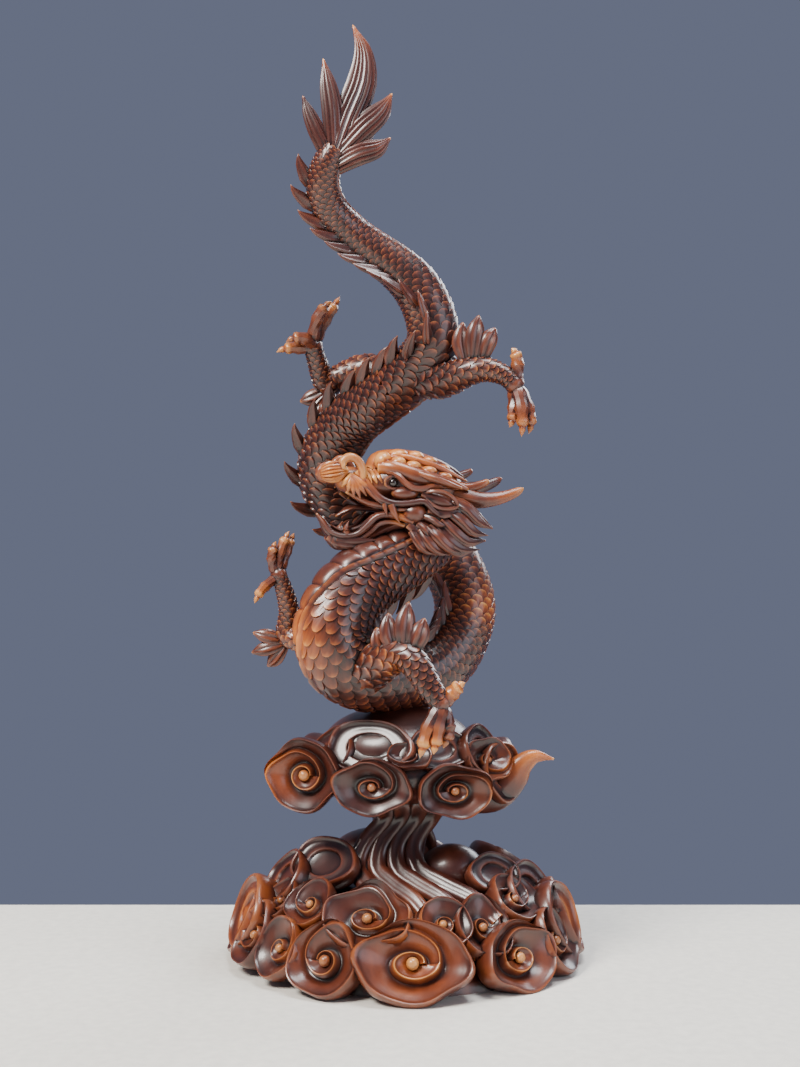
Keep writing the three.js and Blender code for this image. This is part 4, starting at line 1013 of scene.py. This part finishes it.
def smoothed(values, points, edges, area):
    """Values spread along the surface over `area` square millimetres, however fine the mesh."""
    count = len(values)
    ends = np.concatenate([edges[:, 0], edges[:, 1]])
    others = np.concatenate([edges[:, 1], edges[:, 0]])
    degree = np.maximum(np.bincount(ends, minlength=count), 1)
    square = ((points[edges[:, 0]] - points[edges[:, 1]]) ** 2).sum(1)
    mean_square = np.bincount(ends, np.concatenate([square, square]), count) / degree
    share = np.minimum(0.5, SPREAD_STEP / np.maximum(mean_square, 1e-6))
    values = values.reshape(count, -1).copy()
    for _ in range(round(area / SPREAD_STEP)):
        for k in range(values.shape[1]):
            total = np.bincount(ends, values[others, k], count)
            values[:, k] += share * (total / degree - values[:, k])
    return values


# Places brought out in orange, partly by handling and light wood, partly as painted light on lit sides and rims;
# negative strengths are painted shade round the eyes under the brows: centre, reach, strength.
DRAGON_WEAR_AND_LIGHT = [
    (head_point(30, 4, 2), 7, 1.0),
    (head_point(22, 7, 0), 4, 0.6),
    # Painted shade at the eye and behind it, under the brow.
    (head_point(12.5, 10, -1), 3.4, -0.9),
    (head_point(5, 13, -5), 5, -0.4),
    (head_point(13, 4, 8), 9, 0.95),
    (head_point(2, 7, 6), 9, 0.8),
    (head_point(-8, 9, 1), 6, 0.5),
    (head_point(-24, 10, -4), 9, 0.6),
    (head_point(11, 10, -11), 3, 0.6),
    # Painted light on the chest, on the side facing the key lamp.
    ((-32, -26, 104), 13, 1.0),
    ((28, 12, 112), 10, 0.7),
    ((14, 10, 100), 7, 0.3),
    ((7, -43, 73), 6, 0.8),
    ((16, -41, 90), 5, 0.8),
    ((-5, -37, 97), 5, 0.4),
    ((36, -14, 170), 6, 0.6),
    ((34, -13, 193), 4, 0.8),
    ((-42, 15, 197), 6, 0.7),
    ((-24, 15, 213), 5, 0.5),
    ((-46, -12, 116), 5, 0.7),
    ((-40, -10, 134), 5, 0.5),
    ((-16, 0, 298), 6, 0.6),
    ((-27, -2, 288), 4, 0.6),
    ((-5, -2, 277), 4, 0.5),
]
# Wear and painted light on the lit rims and sides of the clouds.
PLINTH_WEAR_AND_LIGHT = [
    ((-42, -22, 62), 11, 0.8),
    ((42, -12, 65), 9, 0.9),
    ((24, -30, 56), 9, 0.5),
    ((31, -20, 64), 7, 0.7),
    ((-54, -10, 18), 16, 0.9),
    ((-36, -42, 14), 14, 0.5),
    ((0, -54, 16), 22, 0.5),
    ((40, -40, 12), 16, 0.4),
    ((54, 0, 16), 14, 0.7),
]
SPREAD_STEP = 0.05  # square millimetres
WEAR_AND_LIGHT_GAIN, WEAR_AND_LIGHT_SPREAD = 0.85, 0.6  # of a place's strength, and of its reach
FINE, BROAD = 0.2, 3.0  # square millimetres that bring out edges and hollows
EDGE_SPAN, HOLLOW_SPAN = 0.13, 0.9  # mm of relief that count as a full edge and a full hollow


def colour_by_relief(piece, wear_and_painted_light):
    """Writes how raised and how hollow the surface is at each point, for painted shade in the hollows, and how
    much wear and painted light turn it orange.
    """
    mesh = piece.data
    points, normals, edges = arrays(mesh)
    fine = ((points - smoothed(points, points, edges, FINE)) * normals).sum(1) / EDGE_SPAN
    broad = ((points - smoothed(points, points, edges, BROAD)) * normals).sum(1) / HOLLOW_SPAN
    # Low relief goes near black in the wood as painted shade in hollows; high relief goes orange as wear and
    # painted highlight on edges.
    relief = 0.5 + 0.5 * np.tanh(0.55 * np.clip(fine, -1.2, 1.2) + 0.65 * broad)
    relief = smoothed(relief, points, edges, SPREAD_STEP)[:, 0]
    glow = np.zeros(len(points))
    for centre, reach, strength in wear_and_painted_light:
        away = ((points - np.array(centre)) ** 2).sum(1)
        glow += WEAR_AND_LIGHT_GAIN * strength * np.exp(-away / (2 * (WEAR_AND_LIGHT_SPREAD * reach) ** 2))
    for name, values in (("relief", relief), ("wear_and_painted_light", np.clip(glow, 0, 1))):
        layer = mesh.attributes.new(name, "FLOAT", "POINT")
        layer.data.foreach_set("value", np.ascontiguousarray(values, dtype=np.float32))


SHARP_EDGE = 38  # degrees from which an edge stays sharp


def finish_piece(piece, nodes, material, angle=SHARP_EDGE):
    """Scales a piece to metres, smooths it between its edges and puts it in the scene."""
    mesh = piece.data
    points, _, _ = arrays(mesh)
    mesh.vertices.foreach_set("co", (points * MM).ravel())
    mesh.materials.clear()
    mesh.materials.append(material)
    mesh.polygons.foreach_set("use_smooth", np.ones(len(mesh.polygons), bool))
    mesh.set_sharp_from_angle(angle=math.radians(angle))
    mesh.update()
    bpy.context.scene.collection.objects.link(piece)
    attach(piece, "root")
    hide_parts(*nodes)


# ---- Materials ------------------------------------------------------------------------------


class Nodes:
    """A material's node tree, written one node at a time."""

    def __init__(self, name):
        self.material = bpy.data.materials.new(name)
        self.material.use_nodes = True
        self.tree = self.material.node_tree
        self.shader = self.tree.nodes["Principled BSDF"]

    def add(self, kind, inputs=(), **settings):
        node = self.tree.nodes.new(kind)
        for key, value in settings.items():
            setattr(node, key, value)
        for key, value in dict(inputs).items():
            if isinstance(value, bpy.types.NodeSocket):
                self.tree.links.new(value, node.inputs[key])
            else:
                node.inputs[key].default_value = value
        return node

    def maths(self, operation, a, b=0.0, clamp=False):
        return self.add("ShaderNodeMath", {0: a, 1: b}, operation=operation, use_clamp=clamp).outputs[0]

    def noise(self, scale, detail=3, stretch=(1, 1, 1)):
        place = self.add("ShaderNodeTexCoord").outputs["Object"]
        mapped = self.add("ShaderNodeMapping", {"Vector": place, "Scale": stretch}).outputs[0]
        made = self.add("ShaderNodeTexNoise", {"Vector": mapped, "Scale": scale, "Detail": detail})
        return made.outputs["Fac"]

    def ramp(self, value, stops):
        node = self.add("ShaderNodeValToRGB", {"Fac": value})
        band = node.color_ramp
        while len(band.elements) < len(stops):
            band.elements.new(0.5)
        for element, (place, colour) in zip(band.elements, stops):
            element.position = place
            element.color = (*colour, 1) if len(colour) == 3 else colour
        return node.outputs["Color"]

    def mix(self, share, a, b, blend="MIX"):
        node = self.add("ShaderNodeMix", {"Factor": share}, data_type="RGBA", blend_type=blend)
        for socket, value in ((node.inputs[6], a), (node.inputs[7], b)):
            if isinstance(value, bpy.types.NodeSocket):
                self.tree.links.new(value, socket)
            else:
                socket.default_value = (*value, 1)
        return node.outputs[2]

    def attribute(self, name):
        return self.add("ShaderNodeAttribute", attribute_name=name).outputs["Fac"]

    def set(self, **values):
        for key, value in values.items():
            socket = self.shader.inputs[key.replace("_", " ")]
            if isinstance(value, bpy.types.NodeSocket):
                self.tree.links.new(value, socket)
            else:
                socket.default_value = value


def lacquered_wood(name):
    """Dark red-brown hardwood: near black in the hollows as painted shade, orange on the edges as wear and painted
    highlight.
    """
    n = Nodes(name)
    relief, wear_and_painted_light = n.attribute("relief"), n.attribute("wear_and_painted_light")
    blotch = n.noise(60, 4)
    grain = n.noise(240, 5, (1, 1, 0.12))
    relief_wear_and_shade = n.maths("ADD", relief, n.maths("MULTIPLY", n.maths("SUBTRACT", blotch, 0.5), 0.35))
    relief_wear_and_shade = n.maths("ADD", relief_wear_and_shade, n.maths("MULTIPLY", n.maths("SUBTRACT", grain, 0.5), 0.12))
    relief_wear_and_shade = n.maths("ADD", relief_wear_and_shade, n.maths("MULTIPLY", wear_and_painted_light, 0.16), clamp=True)
    # Dark end of each ramp is painted shade in hollows; bright end is worn edges and painted highlight.
    cool = n.ramp(relief_wear_and_shade, [
        (0.2, (0.0035, 0.0012, 0.001)),
        (0.4, (0.022, 0.0055, 0.0042)),
        (0.56, (0.064, 0.0145, 0.0088)),
        (0.74, (0.17, 0.042, 0.016)),
        (0.92, (0.46, 0.18, 0.055)),
    ])
    warm = n.ramp(relief_wear_and_shade, [
        (0.2, (0.01, 0.0025, 0.0015)),
        (0.4, (0.12, 0.022, 0.005)),
        (0.58, (0.36, 0.075, 0.01)),
        (0.76, (0.62, 0.19, 0.025)),
        (0.93, (0.82, 0.42, 0.11)),
    ])
    # The warm ramp takes over where wear and painted light are marked.
    colour = n.mix(wear_and_painted_light, cool, warm)
    streaks = n.ramp(grain, [(0.35, (0.8, 0.78, 0.76)), (0.65, (1.1, 1.1, 1.12))])
    colour = n.mix(0.8, colour, streaks, "MULTIPLY")
    rough = n.add("ShaderNodeMapRange", {"Value": n.noise(160, 4), "To Min": 0.26, "To Max": 0.46}).outputs[0]
    tool = n.noise(420, 3, (1, 1, 0.4))
    bump = n.add("ShaderNodeBump", {"Height": tool, "Strength": 0.25, "Distance": 0.0002}).outputs[0]
    n.set(Base_Color=colour, Roughness=rough, Normal=bump)
    n.set(IOR=1.5, Coat_Weight=0.35, Coat_Roughness=0.18, Specular_IOR_Level=0.5)
    return n.material


def eye_glass():
    n = Nodes("black glass")
    tone = n.ramp(n.noise(500, 2), [(0.3, (0.004, 0.003, 0.003)), (0.7, (0.018, 0.01, 0.007))])
    rough = n.add("ShaderNodeMapRange", {"Value": n.noise(900, 2), "To Min": 0.03, "To Max": 0.1}).outputs[0]
    n.set(Base_Color=tone, Roughness=rough)
    n.set(IOR=1.5, Coat_Weight=0.6, Coat_Roughness=0.03)
    return n.material


def plain_stage(name, tone, grain, roughness):
    n = Nodes(name)
    low, high = ([c * k for c in tone] for k in (1 - grain, 1 + grain))
    n.set(Base_Color=n.ramp(n.noise(300, 3), [(0.3, low), (0.7, high)]), Roughness=roughness)
    return n.material


# ---- Camera, light and stage ----------------------------------------------------------------

view = bpy.data.cameras.new("camera")
view.lens = 52.67
view.sensor_width = 36
view.clip_start = 0.01
eye_point = bpy.data.objects.new("camera", view)
eye_point.location = (-0.0019, -0.5036, 0.1358)
eye_point.rotation_euler = (math.radians(90), 0, 0)
bpy.context.scene.collection.objects.link(eye_point)
bpy.context.scene.camera = eye_point

LAMPS = [
    ("key", (-0.55, -0.55, 0.85), (0, 0, 0.16), 0.4, 21, (1.0, 0.96, 0.9)),
    ("top", (0.15, -0.1, 1.0), (0, 0, 0.15), 0.45, 10, (0.95, 0.97, 1.0)),
    ("fill", (0.75, -0.6, 0.35), (0, 0, 0.12), 0.7, 3.5, (0.82, 0.88, 1.0)),
    ("rim", (0.45, 0.6, 0.5), (0, 0, 0.15), 0.5, 5, (0.9, 0.94, 1.0)),
]
for name, place, aim, size, power, tint in LAMPS:
    lamp = bpy.data.lights.new(name, "AREA")
    lamp.shape = "DISK"
    lamp.size = size
    lamp.energy = power
    lamp.color = tint
    holder = bpy.data.objects.new(name, lamp)
    holder.location = place
    away = np.subtract(place, aim)
    holder.rotation_euler = (
        math.atan2(math.hypot(away[0], away[1]), away[2]),
        0,
        math.atan2(away[1], away[0]) + math.pi / 2,
    )
    bpy.context.scene.collection.objects.link(holder)

world = bpy.data.worlds.new("studio")
world.use_nodes = True
world.node_tree.nodes["Background"].inputs["Color"].default_value = (0.15, 0.17, 0.25, 1)
world.node_tree.nodes["Background"].inputs["Strength"].default_value = 0.9
bpy.context.scene.world = world

floor_points = [(-2, -1.6, 0), (2, -1.6, 0), (2, 0.0672, 0), (-2, 0.0672, 0)]
floor_points += [(x, y, -0.03) for x, y, _ in floor_points]
floor_faces = [(0, 1, 2, 3), (7, 6, 5, 4), (0, 4, 5, 1), (1, 5, 6, 2), (2, 6, 7, 3), (3, 7, 4, 0)]
floor = plain_mesh("floor", floor_points, floor_faces)
floor.data.materials.append(plain_stage("pale cloth", (0.74, 0.71, 0.64), 0.06, 0.85))
bpy.context.scene.collection.objects.link(floor)

# ---- Assembly -------------------------------------------------------------------------------

dragon_solids = trunk() + fins() + tail_flame() + head()
for parts in LEGS.values():
    dragon_solids += leg(**parts)
dragon = merge("dragon_carving", dragon_solids)
colour_by_relief(dragon, DRAGON_WEAR_AND_LIGHT)
finish_piece(dragon, ["dragon"], lacquered_wood("dragon wood"))

plinth_solids = mound() + strands() + [loft(COLUMN, up=FRONT, sides=24, steps=16)] + upper_cloud()
plinth_uncut = merge("plinth_uncut", plinth_solids)
below = [(x, y, z) for z in (-60, 0) for x, y in ((-120, -120), (120, -120), (120, 120), (-120, 120))]
below_faces = [(3, 2, 1, 0), (4, 5, 6, 7), (0, 1, 5, 4), (1, 2, 6, 5), (2, 3, 7, 6), (3, 0, 4, 7)]
under_floor = outward(np.array(below, float), below_faces)
plinth = merge("plinth_carving", [under_floor], "DIFFERENCE", plinth_uncut)
colour_by_relief(plinth, PLINTH_WEAR_AND_LIGHT)
finish_piece(plinth, ["cloud_plinth"], lacquered_wood("plinth wood"))

glass = eye_glass()
for name, flip in (("eye_left", 1), ("eye_right", -1)):
    seat = head_point(EYE_SEAT[0], EYE_SEAT[1] * flip, EYE_SEAT[2])
    bead = plain_mesh(name + "_bead", *ball(seat, (EYE_RADIUS,) * 3, sides=32, rings=19))
    finish_piece(bead, [name], glass, 180)
